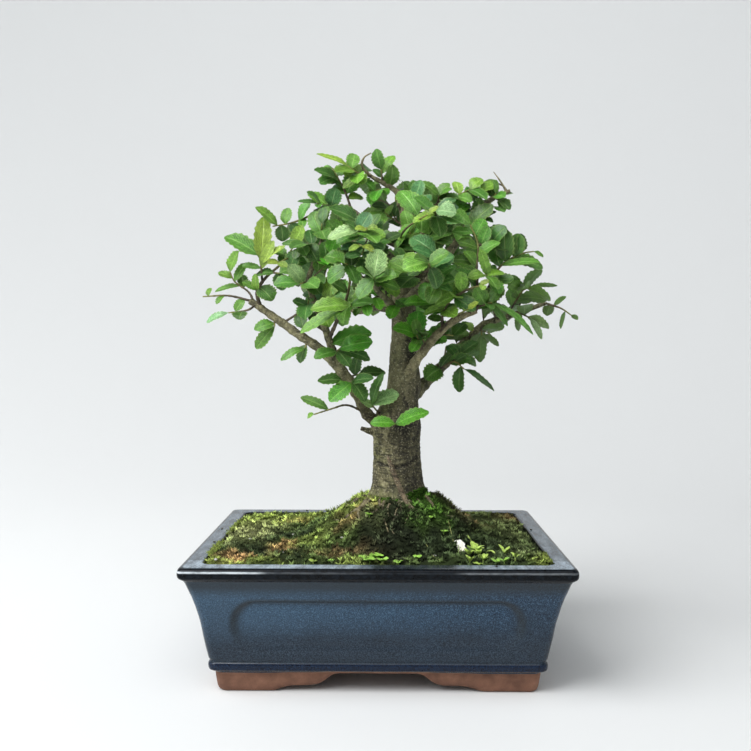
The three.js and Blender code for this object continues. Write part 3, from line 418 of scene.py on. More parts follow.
def fine_line(line, step):
    """The same line with points no further apart than step."""
    line = np.asarray(line, float)
    reached = np.concatenate([[0], np.cumsum(np.linalg.norm(np.diff(line, axis=0), axis=1))])
    extra = np.arange(0, reached[-1], step)
    at = np.unique(np.round(np.concatenate([reached, extra]), 3))
    at = at[np.concatenate([[True], np.diff(at) > 0.3 * step])]
    return np.stack([np.interp(at, reached, line[:, 0]), np.interp(at, reached, line[:, 1])], -1)


def rounded_course():
    """How a loop runs round a rectangle with rounded corners: for each point the parts a and b of the
    straight half sides, and the angle, so that x = a * (half - r) + r cos(angle), and y alike."""
    corners = [(1, -1, -90), (1, 1, 0), (-1, 1, 90), (-1, -1, 180)]
    rows = []
    for k, (sx, sy, start) in enumerate(corners):
        for angle in np.linspace(start, start + 90, CORNER_STEPS + 1):
            rows.append((sx, sy, angle))
        nx, ny, _ = corners[(k + 1) % 4]
        count = int((2 * HALF_Y if k % 2 == 0 else 2 * HALF_X) / LOOP_STEP)
        for t in np.linspace(0, 1, count, endpoint=False)[1:]:
            rows.append((sx + (nx - sx) * t, sy + (ny - sy) * t, start + 90))
    a, b, angle = np.array(rows, float).T
    return a, b, np.radians(angle)


def sunk_panel(along, height, half_length):
    """How far the wall is pushed in: 2 mm inside a rounded rectangle, 0 outside, and smooth over its
    edge, which is three times as wide at the foot of the panel as at its top. Also returns the
    distance to that edge, which is negative inside."""
    qx = np.abs(along) - (half_length - PANEL_CORNER)
    qz = np.abs(height - PANEL_MIDDLE) - (PANEL_HALF_HEIGHT - PANEL_CORNER)
    distance = (np.hypot(np.maximum(qx, 0), np.maximum(qz, 0)) + np.minimum(np.maximum(qx, qz), 0)
                - PANEL_CORNER)
    wide = 1 + 2 * smoothstep(34, 26, height)
    return PANEL_DEPTH * smoothstep(1.2 * wide, -1.4 * wide, distance), distance

# %% Pot: the surface
course_a, course_b, course_angle = rounded_course()
lines = [fine_line(line, step) for line, step in (
    (FLOOR_LINE + INSIDE_LINE, 6), (LIP_LINE, 0.8), (WALL_LINE, WALL_STEP), (FOOT_LINE, 1.2),
    (HOLLOW_LINE, 6))]
profile = np.vstack(lines)
kinds = np.repeat(np.arange(5), [len(line) for line in lines])[:, None]
is_inside, is_lip, is_wall, is_foot, is_hollow = (kinds == k for k in range(5))
inset = np.repeat(profile[:, :1], len(course_a), 1)
height = np.repeat(profile[:, 1:], len(course_a), 1)
lip_radius = np.interp(profile[:, :1], [0, 6, 10.8], [3.2, 4, 6])
wall_radius = np.interp(profile[:, 1:], [54, 62], [5, 3.4])
corner_radius = np.choose(kinds, [6.0, lip_radius, wall_radius, 5.0, 5.5])

straight_front = np.isclose(np.abs(np.sin(course_angle)), 1)[None]
straight_side = np.isclose(np.abs(np.cos(course_angle)), 1)[None]
along_x = course_a[None] * (HALF_X - inset - corner_radius)
along_y = course_b[None] * (HALF_Y - inset - corner_radius)
front_dip, front_edge = sunk_panel(along_x, height, PANEL_HALF_FRONT)
side_dip, side_edge = sunk_panel(along_y, height, PANEL_HALF_SIDE)
inset = inset + np.where(is_wall & straight_front, front_dip, 0)
inset = inset + np.where(is_wall & straight_side, side_dip, 0)

front_gap = np.interp(np.abs(along_x), CLOUD_X, CLOUD_Z)
side_gap = np.interp(np.abs(along_y), np.multiply(CLOUD_X, SIDE_CLOUD), CLOUD_Z)
gap = np.maximum(np.where(straight_front, front_gap, 0), np.where(straight_side, side_gap, 0))
foot_rows = is_foot | (is_hollow & (profile[:, :1] < FOOT_BACK))
inner_foot = foot_rows & (profile[:, :1] > INNER_FACE)
roof = np.where(inner_foot, UNDERSIDE, FOOT_TOP)
height = np.where(foot_rows, gap + height * (roof - gap) / roof, height)

x = course_a[None] * (HALF_X - inset - corner_radius) + corner_radius * np.cos(course_angle)
y = course_b[None] * (HALF_Y - inset - corner_radius) + corner_radius * np.sin(course_angle)
pot_grid = np.stack([x, y, height], -1)
outward = np.stack([np.cos(course_angle), np.sin(course_angle), 0 * course_angle], -1)[None]
handmade = 0.16 * noise(pot_grid, 22, 1) + 0.05 * noise(pot_grid, 5, 2)
pot_part = closed_skin(pot_grid + outward * (handmade * (is_wall | is_foot))[..., None])

edge_distance = np.where(straight_front, front_edge, np.where(straight_side, side_edge, 9))
# A dark line along the upper part of each panel's rim, partly where the glaze ran thin and partly
# painted shade.
thin = np.exp(-((edge_distance - 0.2) / 1.5) ** 2) * is_wall * smoothstep(22, 40, height)
# The lip's outer edge gets a painted highlight, strongest at the left end of the front, and its flat
# top gets pale streaks that are partly dust and partly a painted sheen.
painted_glint = np.where(y < 0, np.interp(x, [-62, -55, -8, 0, 38, 46],
                                  [0.9, 0.12, 0.08, 0.02, 0.03, 0.2]), 0.2)
dust_and_sheen = np.where(y < -60, np.interp(x, [-12, -1, 38, 45], [0.7, 0.1, 0.06, 0.6]), 0.34)
pot_values = {"thin": thin, "panel": smoothstep(0.5, -6, edge_distance) * is_wall,
              "painted_glint": painted_glint * (inset < 2.2) * is_lip,
              "dust_and_sheen": dust_and_sheen * (height > 68.3) * smoothstep(0.8, 2.4, inset) * is_lip}
pot_part["values"] = {key: np.append(grid.ravel(), [0, 0]) for key, grid in pot_values.items()}
bare_clay = is_foot | is_hollow | (is_inside & (profile[:, 1:] < 58))
pot_part["finish"] = np.append(np.repeat(bare_clay[:-1], len(course_a)),
                               np.ones(2 * len(course_a))).astype(int)
print("pot rows and columns:", pot_grid.shape[:2])

# %% [markdown]
# The glaze is a glassy blue that ran thin over the edges. Where it is thick, on the upper wall and at
# the top of each panel, bright blue specks stand close together, and there it is painted lighter
# towards the pot's left end, as painted light from the lamp on that side. Lower down it turns to a
# smoky grey. Just under the lip it is painted a darker grey, as painted shade under the lip's overhang,
# and a dark grey line along the upper part of each panel's rim is partly glaze run thin and partly
# painted shade. The lip is nearly black. Its flat top mirrors the sky, and the pale streaks on it are
# partly dust and partly a painted sheen of the sky. Its outer edge has a thin painted highlight,
# strongest at the left end of the front.
# All of this is one noise ramp for the specks and a few masks for the places.
# The feet are bare terracotta: a reddish brown, dull, with fine grains and pale scuffs at the edges.

# %% Pot: glaze and clay
def glaze_finish():
    paint = Finish("speckled_blue_glaze", 0.2)
    x, z = paint.axis("X"), paint.axis("Z")
    specks = paint.grain(0.55, detail=2, rough=0.6)
    deep = specks.ramp((0.34, (24, 37, 51)), (0.5, (44, 67, 91)), (0.62, (69, 101, 129)),
                       (0.74, (102, 136, 163)))
    # Painted light: the thick glaze is lighter towards the pot's left end, where the lamp shines.
    deep = deep.coat(x.levels(0.05, -0.09, 0, 0.36), (92, 124, 150))
    smoky = specks.ramp((0.34, (25, 33, 41)), (0.5, (38, 49, 61)), (0.66, (54, 68, 82)))
    wander = paint.grain(24).levels(0.3, 0.7, -0.14, 0.14) + z.levels(0.024, 0.060)
    panel_top = paint.carried("panel") * z.levels(0.030, 0.049)
    thin_glaze_and_shade = specks.ramp((0.35, (30, 37, 43)), (0.65, (48, 57, 63)))
    band = z.levels(0.0164, 0.0158) * z.levels(0.0117, 0.0121)
    navy = specks.ramp((0.4, (7, 14, 30)), (0.6, (25, 41, 64)))
    worn_line = z.levels(0.0126, 0.0121) * z.levels(0.0115, 0.0118)
    lip_black = paint.grain(2.2).ramp((0.35, (5, 7, 10)), (0.7, (18, 24, 31)))
    streaks = paint.grain(1.6, detail=4, rough=0.7, stretch=(0.25, 0.25, 1))
    # A painted highlight: a thin bright line in streaks along the lip's outer edge.
    highlight_line = z.levels(0.0659, 0.0664) * z.levels(0.0673, 0.0668)
    highlight_line = highlight_line * streaks.levels(0.36, 0.56, 0.55, 1.1)
    # Pale streaks on the lip's flat top: partly dust and partly a painted sheen of the sky.
    sheen_streaks = paint.grain(4.5, detail=5, rough=0.65, stretch=(1, 0.35, 1))
    dust_and_sheen_coat = paint.carried("dust_and_sheen") * specks.levels(0.42, 0.66, 0.7, 1.25)
    colour = smoky
    for amount, over in ((wander.levels(0.05, 0.95, 0, 0.8), deep), (panel_top * 0.75, deep),
                         # Partly painted shade: the dark line along the panels' rims.
                         (paint.carried("thin") * 0.95, thin_glaze_and_shade),
                         # Painted shade: the wall just under the lip is greyed, as shade under the
                         # lip's overhang.
                         (z.levels(0.0520, 0.0580) * 0.85, (46, 52, 56)), (band, navy),
                         (worn_line * 0.6, (128, 122, 112)), (z.levels(0.0608, 0.0622), lip_black),
                         (highlight_line * paint.carried("painted_glint"), (206, 214, 220)),
                         (dust_and_sheen_coat * sheen_streaks.levels(0.36, 0.62, 0.5, 1.4), (158, 174, 188))):
        colour = colour.coat(amount, over)
    relief = specks + paint.grain(5, detail=2) + sheen_streaks * paint.carried("dust_and_sheen") * 12
    return paint.dress(colour, relief, depth_mm=0.05, strength=0.18,
                       Roughness=paint.grain(3).levels(0.3, 0.75, 0.1, 0.26),
                       Specular_IOR_Level=z.levels(0.0612, 0.0640, 0.24, 0.12))


def clay_finish():
    paint = Finish("bare_terracotta", 0.8)
    grains = paint.grain(0.6, detail=2)
    colour = paint.grain(9, detail=4).ramp((0.3, (92, 61, 46)), (0.52, (120, 83, 64)),
                                           (0.75, (142, 102, 80)))
    colour = colour.coat(grains.levels(0.58, 0.75, 0, 0.5), (84, 56, 44))
    colour = colour.coat(paint.axis("Z").levels(0.0116, 0.0104, 0.6, 0), (150, 124, 104))
    return paint.dress(colour, grains, depth_mm=0.12, strength=0.5)


clay = clay_finish()
pot, triangles = make_piece("pot_fired", [pot_part], [glaze_finish(), clay], ["pot"])
print("pot triangles:", triangles)

# %% [markdown]
# Two round holes let the water out. A hole through a thick floor is the one shape here that a carried
# profile can't give, so two plain cylinders are taken away from the finished pot.

# %% Pot: drain holes
DRAIN_X, DRAIN_RADIUS, DRAIN_LOW, DRAIN_HIGH = 45.0, 8.0, 4, 18
angle = np.linspace(0, 2 * math.pi, 48, endpoint=False)
ring = np.stack([np.cos(angle), np.sin(angle), 0 * angle], -1) * DRAIN_RADIUS
cutter_parts = [closed_skin(np.stack([ring + [x, 0, z] for z in (DRAIN_LOW, DRAIN_HIGH)]))
                for x in (-DRAIN_X, DRAIN_X)]
cutter, _ = make_piece("drain_cutter", cutter_parts, [clay])
cut = pot.modifiers.new("drain_holes", "BOOLEAN")
cut.operation, cut.solver, cut.object = "DIFFERENCE", "EXACT", cutter
with_holes = bpy.data.meshes.new_from_object(
    pot.evaluated_get(bpy.context.evaluated_depsgraph_get()))
pot.modifiers.clear()
pot.data = with_holes
bpy.data.objects.remove(cutter)
print("pot faces with its drain holes:", len(pot.data.polygons))

# %% [markdown]
# ## Soil and drain screens
# The soil fills the pot under the moss, and a square of plastic mesh lies over each hole so that it
# stays in. Both keep the CAD model's own shape, which is right as it is, and get a finish: crumbs of
# dark peat and grit for the soil, and a dull moulded black for the screens.

# %% Soil and screen finishes
def soil_finish():
    paint = Finish("bonsai_soil", 0.95)
    crumbs = paint.node("TexVoronoi", {"Vector": paint.place(), "Scale": 400.0}, "Distance")
    colour = paint.grain(3, detail=4).ramp((0.3, (26, 19, 14)), (0.55, (52, 38, 28)),
                                           (0.75, (92, 74, 56)))
    return paint.dress(colour, crumbs, depth_mm=0.8, strength=0.9)


def screen_finish():
    paint = Finish("black_plastic_mesh", 0.5)
    fine = paint.grain(0.8)
    return paint.dress(fine.ramp((0.3, (24, 25, 23)), (0.7, (44, 46, 42))), fine, depth_mm=0.05,
                       strength=0.3)


screen_look = screen_finish()
carried_over = {"soil": soil_finish(), "drain_screen_left": screen_look,
                "drain_screen_right": screen_look}
for name, look in carried_over.items():
    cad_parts[name].material_slots[0].material = look
print("kept from the CAD model:", ", ".join(carried_over))

# %% [markdown]
# ## Moss: the lie of the land
# The moss is a carpet of low cushions. It starts just under the lip, runs nearly level, and climbs the
# mound that the tree stands on. Two rules of x and y give the height of the soil and of the moss, and
# everything that grows in the moss asks them where the ground is.
# The carpet's tone is patchy: fresh yellow-green where light falls and dark where shade falls, partly
# the moss's own colour and partly painted light and shade, and rusty where it has dried. A short list
# of soft round patches over noise gives that, with no picture.

# %% Ground heights and tones
TREE_X = 10.6
SOIL_LEVEL, MOSS_LEVEL = 63.2, 67.6
MOSS_EDGE = 11.4
MOSS_TONES = {"dark": (68, 82, 60), "mid": (120, 144, 84), "fresh": (196, 218, 116),
              "pale": (232, 240, 170), "rust": (210, 166, 120), "olive": (140, 154, 104),
              "deep": (57, 58, 51), "humus": (92, 76, 64), "green": (104, 156, 60)}
# Each patch is [x, y, reach in x, reach in y, tone].
# The fresh and dark patches are partly painted light and shade.
MOSS_PATCHES = [
    [-74, 38, 20, 14, "fresh"], [-52, 48, 26, 12, "fresh"], [-80, 6, 12, 18, "pale"],
    [-72, 28, 12, 9, "pale"], [-39, -22, 9, 7, "fresh"], [-27, -24, 12, 8, "mid"],
    [-34, 22, 14, 14, "mid"], [-12, 4, 10, 12, "fresh"], [-6, 14, 8, 10, "fresh"],
    [-84, -60, 6, 5, "fresh"], [-64, -60, 9, 4, "fresh"], [-6, -62, 12, 4, "fresh"],
    [-24, -40, 14, 8, "mid"], [-50, 40, 9, 7, "rust"], [-76, -53, 10, 6, "rust"],
    [-52, -30, 8, 6, "rust"], [-14, -18, 8, 6, "rust"], [-20, -48, 12, 4, "rust"],
    [86, 52, 10, 12, "rust"], [53, 12, 8, 7, "rust"], [-84, 30, 8, 9, "fresh"],
    [4, -47, 17, 13, "deep"], [-66, -41, 12, 8, "dark"], [-57, -3, 13, 9, "dark"],
    [-11, -44, 11, 7, "deep"], [22, -40, 14, 14, "dark"], [39, -8, 10, 9, "humus"],
    [60, -32, 20, 16, "dark"], [30, -18, 8, 9, "green"], [26, -27, 8, 6, "mid"],
    [88, -60, 7, 8, "fresh"], [80, -40, 10, 10, "olive"], [70, 30, 20, 20, "olive"],
    [60, 50, 20, 10, "olive"], [84, 0, 10, 16, "olive"], [-50, -42, 9, 5, "dark"],
    [-14, -8, 10, 8, "fresh"], [24, -20, 8, 8, "green"], [28, -10, 6, 8, "green"],
    [8, -30, 12, 9, "deep"], [-2, -22, 6, 6, "olive"],
]


def mound(x, y):
    """The rise above the rim: 17 mm times a broad step, and 6.5 mm times a collar at the trunk."""
    broad = 1 - smoothstep(0.4, 1, np.hypot((x - TREE_X) / 62, y / 55))
    collar = 1 - smoothstep(17, 34, np.hypot(x - TREE_X, y))
    return 17 * broad + 6.5 * collar


def cushions(x, y):
    """Low swells: a product of two bent sines, a slanting ripple, and a hump over a root."""
    waves = (1.1 * np.sin(0.23 * x + 1.3 * np.sin(0.11 * y))
             * np.cos(0.27 * y + 0.8 * np.sin(0.09 * x)))
    hump = 3 * np.exp(-((x - 37) / 9) ** 2 - ((y + 2) / 12) ** 2)
    return waves + 0.5 * np.sin(0.41 * x + 0.37 * y) + hump


def soil_height(x, y):
    """The soil follows the moss's mound, a little lower."""
    return SOIL_LEVEL + 0.97 * mound(x, y)


def moss_height(x, y):
    """The CAD model's height rule, and clumps on top: noise 7, 3.8 and 2 mm across."""
    flat = np.stack([x, y, 0 * x], -1)
    fine = 0.8 * noise(flat, 7.0, 11) + 0.8 * noise(flat, 3.8, 12) + 0.4 * noise(flat, 2.0, 13)
    return MOSS_LEVEL + mound(x, y) + cushions(x, y) + fine


def on_moss(x, y, lift):
    """The point that stands lift over the moss at one place."""
    return np.array([x, y, moss_height(*np.array([[x], [y]], float))[0] + lift])


def moss_tone(x, y, seed=20):
    """Linear colour: patches weighted by exp(-d^2), over a base that noise moves from dark to mid."""
    flat = np.stack([x, y, 0 * x], -1)
    bend_x, bend_y = 7 * noise(flat, 8.0, seed), 7 * noise(flat, 8.0, seed + 1)
    base_weight = 0.55
    drift = (0.5 + 0.5 * noise(flat, 6.0, seed + 2))[..., None]
    total = base_weight * (linear(MOSS_TONES["dark"]) * (1 - drift) + linear(MOSS_TONES["mid"]) * drift)
    weights = base_weight + 0 * x
    for px, py, rx, ry, tone in MOSS_PATCHES:
        weight = 2.3 * np.exp(-((x + bend_x - px) / rx) ** 2 - ((y + bend_y - py) / ry) ** 2)
        total = total + weight[..., None] * linear(MOSS_TONES[tone])
        weights = weights + weight
    return total / weights[..., None]


print("moss in front of the trunk, mm:", on_moss(TREE_X, -18, 0).round(1))

# %% [markdown]
# ## Moss: the carpet and its sprigs
# The carpet is a ring of ground, from the mouth of the pot in to the trunk, with an underside on the
# soil. On it stand thousands of sprigs. A real sprig is a tuft of tiny leaves, which at this size is a
# handful of spikes that lean out from one point, so each spike is the smallest closed solid there is,
# a thin tetrahedron of four faces, paler at its tip.

# %% Moss carpet
MOUTH_X, MOUTH_Y, MOUTH_RADIUS = HALF_X - MOSS_EDGE, HALF_Y - MOSS_EDGE, 6.0
TRUNK_HOLE = 16.9
# The underside, which no one sees, needs only these of the carpet's rows.
UNDER_ROWS = [0, 20, 40, 60, 84, 85]
# The loop at the pot's mouth, and the loop at the trunk, in the same directions.
mouth_x = course_a * (MOUTH_X - MOUTH_RADIUS) + MOUTH_RADIUS * np.cos(course_angle)
mouth_y = course_b * (MOUTH_Y - MOUTH_RADIUS) + MOUTH_RADIUS * np.sin(course_angle)
bearing = np.arctan2(mouth_y, mouth_x - TREE_X)
hole_x, hole_y = TREE_X + TRUNK_HOLE * np.cos(bearing), TRUNK_HOLE * np.sin(bearing)
reach = np.append(np.linspace(0, 0.985, 84), [0.995, 1.0])[:, None]
carpet_x = hole_x + (mouth_x - hole_x) * reach
carpet_y = hole_y + (mouth_y - hole_y) * reach
edge_drop = 2.2 * smoothstep(0.965, 1, reach)
top = np.stack([carpet_x, carpet_y, moss_height(carpet_x, carpet_y) - edge_drop], -1)
under = np.stack([carpet_x, carpet_y, soil_height(carpet_x, carpet_y) + 0.3], -1)
ring = np.concatenate([under[UNDER_ROWS], top[::-1]])
rows, columns, _ = ring.shape
# The last row joins the first, so the faces of one row more are numbered back to the start.
carpet = turned_out(ring.reshape(-1, 3), [grid_faces(rows + 1, columns) % (rows * columns)])
carpet["colours"] = {"tone": 0.4 * moss_tone(ring[..., 0], ring[..., 1]).reshape(-1, 3)}


def moss_finish():
    paint = Finish("moss", 0.92, Specular_IOR_Level=0.1)
    fuzz = paint.grain(0.9, detail=3, rough=0.7)
    tips = fuzz.ramp((0.3, (80, 80, 72)), (0.5, (190, 190, 180)), (0.66, (255, 255, 240)))
    tone = paint.carried("tone", "Color")
    return paint.dress(tone.coat(1.0, tips, "MULTIPLY").coat(0.25, tone), fuzz, depth_mm=0.9,
                       strength=0.9)


moss_look = moss_finish()
_, triangles = make_piece("moss_carpet", [carpet], [moss_look], ["moss"])
print("moss carpet triangles:", triangles)

# %% Moss sprigs
TIP_SHADES = np.array([0.32, 0.32, 0.32, 2.15])[None, :, None]
SPIKES_EACH, FINE_SPIKE, TUFT_STEP = 5, 0.36, 1.25


def spikes(feet, ways, lengths, widths, tones):
    """Thin tetrahedra: three corners of a small triangle round the foot and one at foot + way *
    length. The foot's corners are dark and the tip is pale."""
    aside = unit(np.cross(ways, [0.31, 0.84, 0.44]))
    behind = np.cross(ways, aside)
    angle = np.radians([0, 120, 240])[None, :, None]
    ring = (feet[:, None] + np.reshape(widths, (-1, 1, 1))
            * (np.cos(angle) * aside[:, None] + np.sin(angle) * behind[:, None]))
    points = np.concatenate([ring, (feet + ways * lengths[:, None])[:, None]], 1).reshape(-1, 3)
    four = np.arange(len(feet))[:, None, None] * 4
    faces = (four + np.array([[0, 2, 1], [0, 1, 3], [1, 2, 3], [2, 0, 3]])).reshape(-1, 3)
    part = turned_out(points, [faces])
    part["colours"] = {"tone": (tones[:, None] * TIP_SHADES).reshape(-1, 3)}
    return part


def leaning(draw, low, high, away, up=1.0):
    """One direction for each row of away: upright, leant by low to high to a side of its own, and
    along away."""
    turn = draw.uniform(0, 2 * np.pi, len(away))
    lean = draw.uniform(low, high, len(away))
    flat = np.stack([np.cos(turn) * lean, np.sin(turn) * lean], -1) + away
    return unit(np.column_stack([flat, np.full(len(away), up)]))


def sprig_part(draw, count, low_x, high_x):
    """Sprigs inside the mouth and off the trunk, each a fan of spikes. They stand in tufts: a sprig
    lies a normal random step from the middle of its tuft, higher and paler the nearer it is, leans
    away from it, and shares its tone."""
    tried, far_y = 2 * count, 65
    tufts = np.column_stack([draw.uniform(low_x, high_x, count // 7),
                             draw.uniform(-far_y, far_y, count // 7)])
    tuft_tone = draw.uniform(0.2, 1.35, len(tufts)) ** 2 + 0.22
    mine = draw.integers(0, len(tufts), tried)
    step = draw.normal(0, TUFT_STEP, (tried, 2))
    x, y = (tufts[mine] + step).T
    lone = draw.random(tried) < 0.3
    x = np.where(lone, draw.uniform(low_x, high_x, tried), x)
    y = np.where(lone, draw.uniform(-far_y, far_y, tried), y)
    inside = (np.abs(x) < MOUTH_X - 0.4) & (np.abs(y) < MOUTH_Y - 0.4)
    inside &= np.hypot(x - TREE_X, y) > TRUNK_HOLE + 0.3
    kept = np.flatnonzero(inside)[:count]
    x, y, step, lone = x[kept], y[kept], step[kept], lone[kept]
    crest = np.where(lone, 0, np.exp(-(step ** 2).sum(1) / 2.6))
    edge = np.minimum(MOUTH_X - np.abs(x), MOUTH_Y - np.abs(y))
    foot = np.stack([x, y, moss_height(x, y) - 0.6 + 1.5 * crest - 1.2 * (edge < 3)], -1)
    tone = moss_tone(x, y) * (np.where(lone, 0.6, tuft_tone[mine[kept]])
                              * (0.5 + 0.9 * crest) * draw.uniform(0.7, 1.4, len(x)))[:, None]
    size = draw.uniform(0.75, 1.35, len(x)).repeat(SPIKES_EACH)
    foot, tone = foot.repeat(SPIKES_EACH, 0), tone.repeat(SPIKES_EACH, 0)
    away = np.where(lone[:, None], 0, 0.35 * step).repeat(SPIKES_EACH, 0)
    way = leaning(draw, 0.2, 1.2, away)
    return spikes(foot, way, size * draw.uniform(1.3, 2.9, len(foot)), 0.42 * size, tone)


def spilled_part(draw, count):
    """Sprigs that hang over the inner edge of the lip, most of them at the left."""
    patches = ((-MOUTH_X - 0.6, -34, 1.1, 9), (-MOUTH_X - 0.2, 22, 0.8, 12), (MOUTH_X, -52, 0.6, 6),
               (60, MOUTH_Y, 9, 0.6))
    centre = np.repeat(patches, (count // 2, count // 6, count // 6, count // 6), 0)
    x = centre[:, 0] + centre[:, 2] * draw.normal(0, 0.8, len(centre))
    y = centre[:, 1] + centre[:, 3] * draw.normal(0, 0.8, len(centre))
    foot = np.stack([x, y, POT_HEIGHT - 0.7 + 0 * x], -1).repeat(SPIKES_EACH, 0)
    way = leaning(draw, 0.3, 1.4, 0 * foot[:, :2])
    tone = linear(MOSS_TONES["fresh"]) * draw.uniform(0.15, 0.95, (len(x), 1)) ** 1.5
    return spikes(foot, way, draw.uniform(1.2, 2.8, len(foot)), FINE_SPIKE,
                  tone.repeat(SPIKES_EACH, 0))


def climbing_part(draw, count):
    """Sprigs on the foot of the trunk itself: most of them at the front and right, up to 6 mm above
    the moss, and fewer the higher it is."""
    bearing = np.radians(draw.normal(-52, 38, count))
    rise = 6.5 * draw.random(count) ** 2 * (0.3 + 0.7 * np.cos(bearing + 0.6) ** 2)
    out = np.stack([np.cos(bearing), np.sin(bearing)], -1)
    ground = moss_height(TREE_X + 17.5 * out[:, 0], 17.5 * out[:, 1])
    foot = np.column_stack([[TREE_X, 0] + (17.6 - 0.22 * rise)[:, None] * out,
                            ground + rise - 0.5]).repeat(SPIKES_EACH, 0)
    way = leaning(draw, 0.2, 0.9, 0.9 * out.repeat(SPIKES_EACH, 0), up=0.5)
    tone = linear(MOSS_TONES["green"]) * draw.uniform(0.1, 0.85, (count, 1)) ** 1.4
    return spikes(foot, way, draw.uniform(1.0, 2.2, len(foot)), FINE_SPIKE,
                  tone.repeat(SPIKES_EACH, 0))


draw = np.random.default_rng(7)
sprig_count = 0
for side, low_x, high_x in (("left", -90, -26), ("middle", -26, 36), ("right", 36, 90)):
    sprig_parts = [sprig_part(draw, 4200, low_x, high_x)]
    if side == "left":
        sprig_parts.append(spilled_part(draw, 480))
    if side == "middle":
        sprig_parts.append(climbing_part(draw, 900))
    _, triangles = make_piece("moss_sprigs_" + side, sprig_parts, [moss_look])
    sprig_count += triangles
print("sprig triangles:", sprig_count)

# %% [markdown]
# ## Courses and tubes
# Everything that grows follows a course: a smooth curve through a few points. A Catmull-Rom curve
# passes through its points, so the list of points can be read like a description of the branch.
# A tube is a ring carried along a course, turned so that it always stands square to it.
# The branch points are written as they look from the front, in the trunk's plane, with a depth y.
# The further back a point really is, the wider it has to stand to look the same, and placed() does
# that sum along the line of sight.

# %% Courses and tubes
def placed(point):
    """A point read in the trunk's plane, carried along the line of sight to its depth y."""
    point = np.asarray(point, float)
    away = (point[..., 1] - EYE_LINE[1]) / -EYE_LINE[1]
    return np.stack([EYE_LINE[0] + (point[..., 0] - EYE_LINE[0]) * away, point[..., 1],
                     EYE_LINE[2] + (point[..., 2] - EYE_LINE[2]) * away], -1)


EYE_LINE = np.array([4.8, -486.0, 178.5])
SPAN_STEPS = 12


class Course:
    """A Catmull-Rom curve: between b and c it is half of 2 b + (c - a) t + (2 a - 5 b + 4 c - d) t^2
    + (3 b - a - 3 c + d) t^3, where a and d are the points before and after."""

    def __init__(self, via):
        via = np.asarray(via, float)
        knots = np.vstack([2 * via[0] - via[1], via, 2 * via[-1] - via[-2]])
        a, b, c, d = (knots[k:len(knots) - 3 + k, None] for k in range(4))
        t = (np.arange(SPAN_STEPS) / SPAN_STEPS)[None, :, None]
        curve = 0.5 * (2 * b + (c - a) * t + (2 * a - 5 * b + 4 * c - d) * t ** 2
                       + (3 * b - a - 3 * c + d) * t ** 3)
        self.points = np.vstack([curve.reshape(-1, via.shape[1]), via[-1:]])
        steps = np.linalg.norm(np.diff(self.points, axis=0), axis=1)
        self.reached = np.concatenate([[0], np.cumsum(steps)])
        self.length = self.reached[-1]

    def at(self, distance):
        distance = np.clip(distance, 0, self.length)
        return np.stack([np.interp(distance, self.reached, column) for column in self.points.T], -1)

    def way(self, distance):
        distance = np.clip(distance, 0.5, self.length - 0.5)
        return unit(self.at(distance + 0.5) - self.at(distance - 0.5))


def tube(course, radius, sides, rings):
    """A skin of rings square to the course, and the rings' distances along it. radius(s, angle)
    gives the radius at a distance along the course and at an angle round it, which starts from the
    axis that the course runs along least."""
    s = np.linspace(0, course.length, rings)
    angle = 2 * np.pi * np.arange(sides) / sides
    way, centre = course.way(s), course.at(s)
    axis = np.eye(3)[np.argmin(np.abs(way).mean(0))]
    normal = unit(axis - way * (way @ axis)[:, None])
    across = np.cross(way, normal)
    r = radius(s[:, None], angle[None])
    grid = (centre[:, None] + r[..., None] * (np.cos(angle)[None, :, None] * normal[:, None]
                                              + np.sin(angle)[None, :, None] * across[:, None]))
    return closed_skin(grid), s


print("a point 60 mm behind the trunk's plane:", placed([50, 60, 200]).round(1))

# %% [markdown]
# ## The wood: trunk
# An old elm's trunk is a column that swells at the root, narrows at a collar where the first branches
# leave, and tapers to the leader at the top. Its bark is smooth for an elm, olive grey, with pits,
# thin wrinkles that run round it, one deep crack across the front, and strands of root at the foot.
# The trunk is one tall grid round its own course. Each mark in the bark is a rule of the height z and
# the angle round the trunk that moves the surface in or out, and the same rule darkens the colour.

# %% Trunk
TRUNK_LOBES = 5
# Each line is height, centre x, radius and how much of the radius the lobes stand out.
TRUNK = np.array([
    [46, 10.6, 16.5, 0], [84, 10.6, 18.2, 0.06], [89.5, 10.6, 18.0, 0.1], [93.5, 10.7, 16.8, 0.1],
    [98.5, 10.6, 15, 0.07], [109, 10.4, 13.8, 0.05], [121.5, 10.1, 13.2, 0.04],
    [133, 10.1, 13.3, 0.05], [141, 10.8, 12.2, 0.05], [149, 12.8, 10.2, 0.03],
    [157, 14.6, 9.4, 0.03], [172, 14.7, 8, 0.03], [183, 14.7, 7.5, 0.03], [198, 14.4, 7.2, 0.04],
    [212, 14.8, 5.9, 0.03], [222, 16.5, 4.3, 0.02], [241, 16.2, 3.2, 0], [256, 14.5, 2.6, 0],
    [263, 13.3, 2.2, 0]])
TRUNK_ROWS, TRUNK_COLUMNS = 300, 176
# A few rows are enough below ground.
BURIED_ROWS, BURIED_TOP, SEEN_FOOT = 8, 82, 84


def trunk_shape(z):
    """Centre x, radius and lobe height at each height, on a smooth curve through the table, and how
    many lines of the table are below it."""
    curve = Course(TRUNK).points
    level = np.interp(z, TRUNK[:, 0], np.arange(len(TRUNK)))
    return [np.interp(z, curve[:, 0], curve[:, k]) for k in (1, 2, 3)] + [level]


def ridged(points, size, seed):
    """1 on thin lines and 0 between them: 1 - |noise|, raised to the fourth power."""
    return (1 - np.abs(noise(points, size, seed))) ** 4


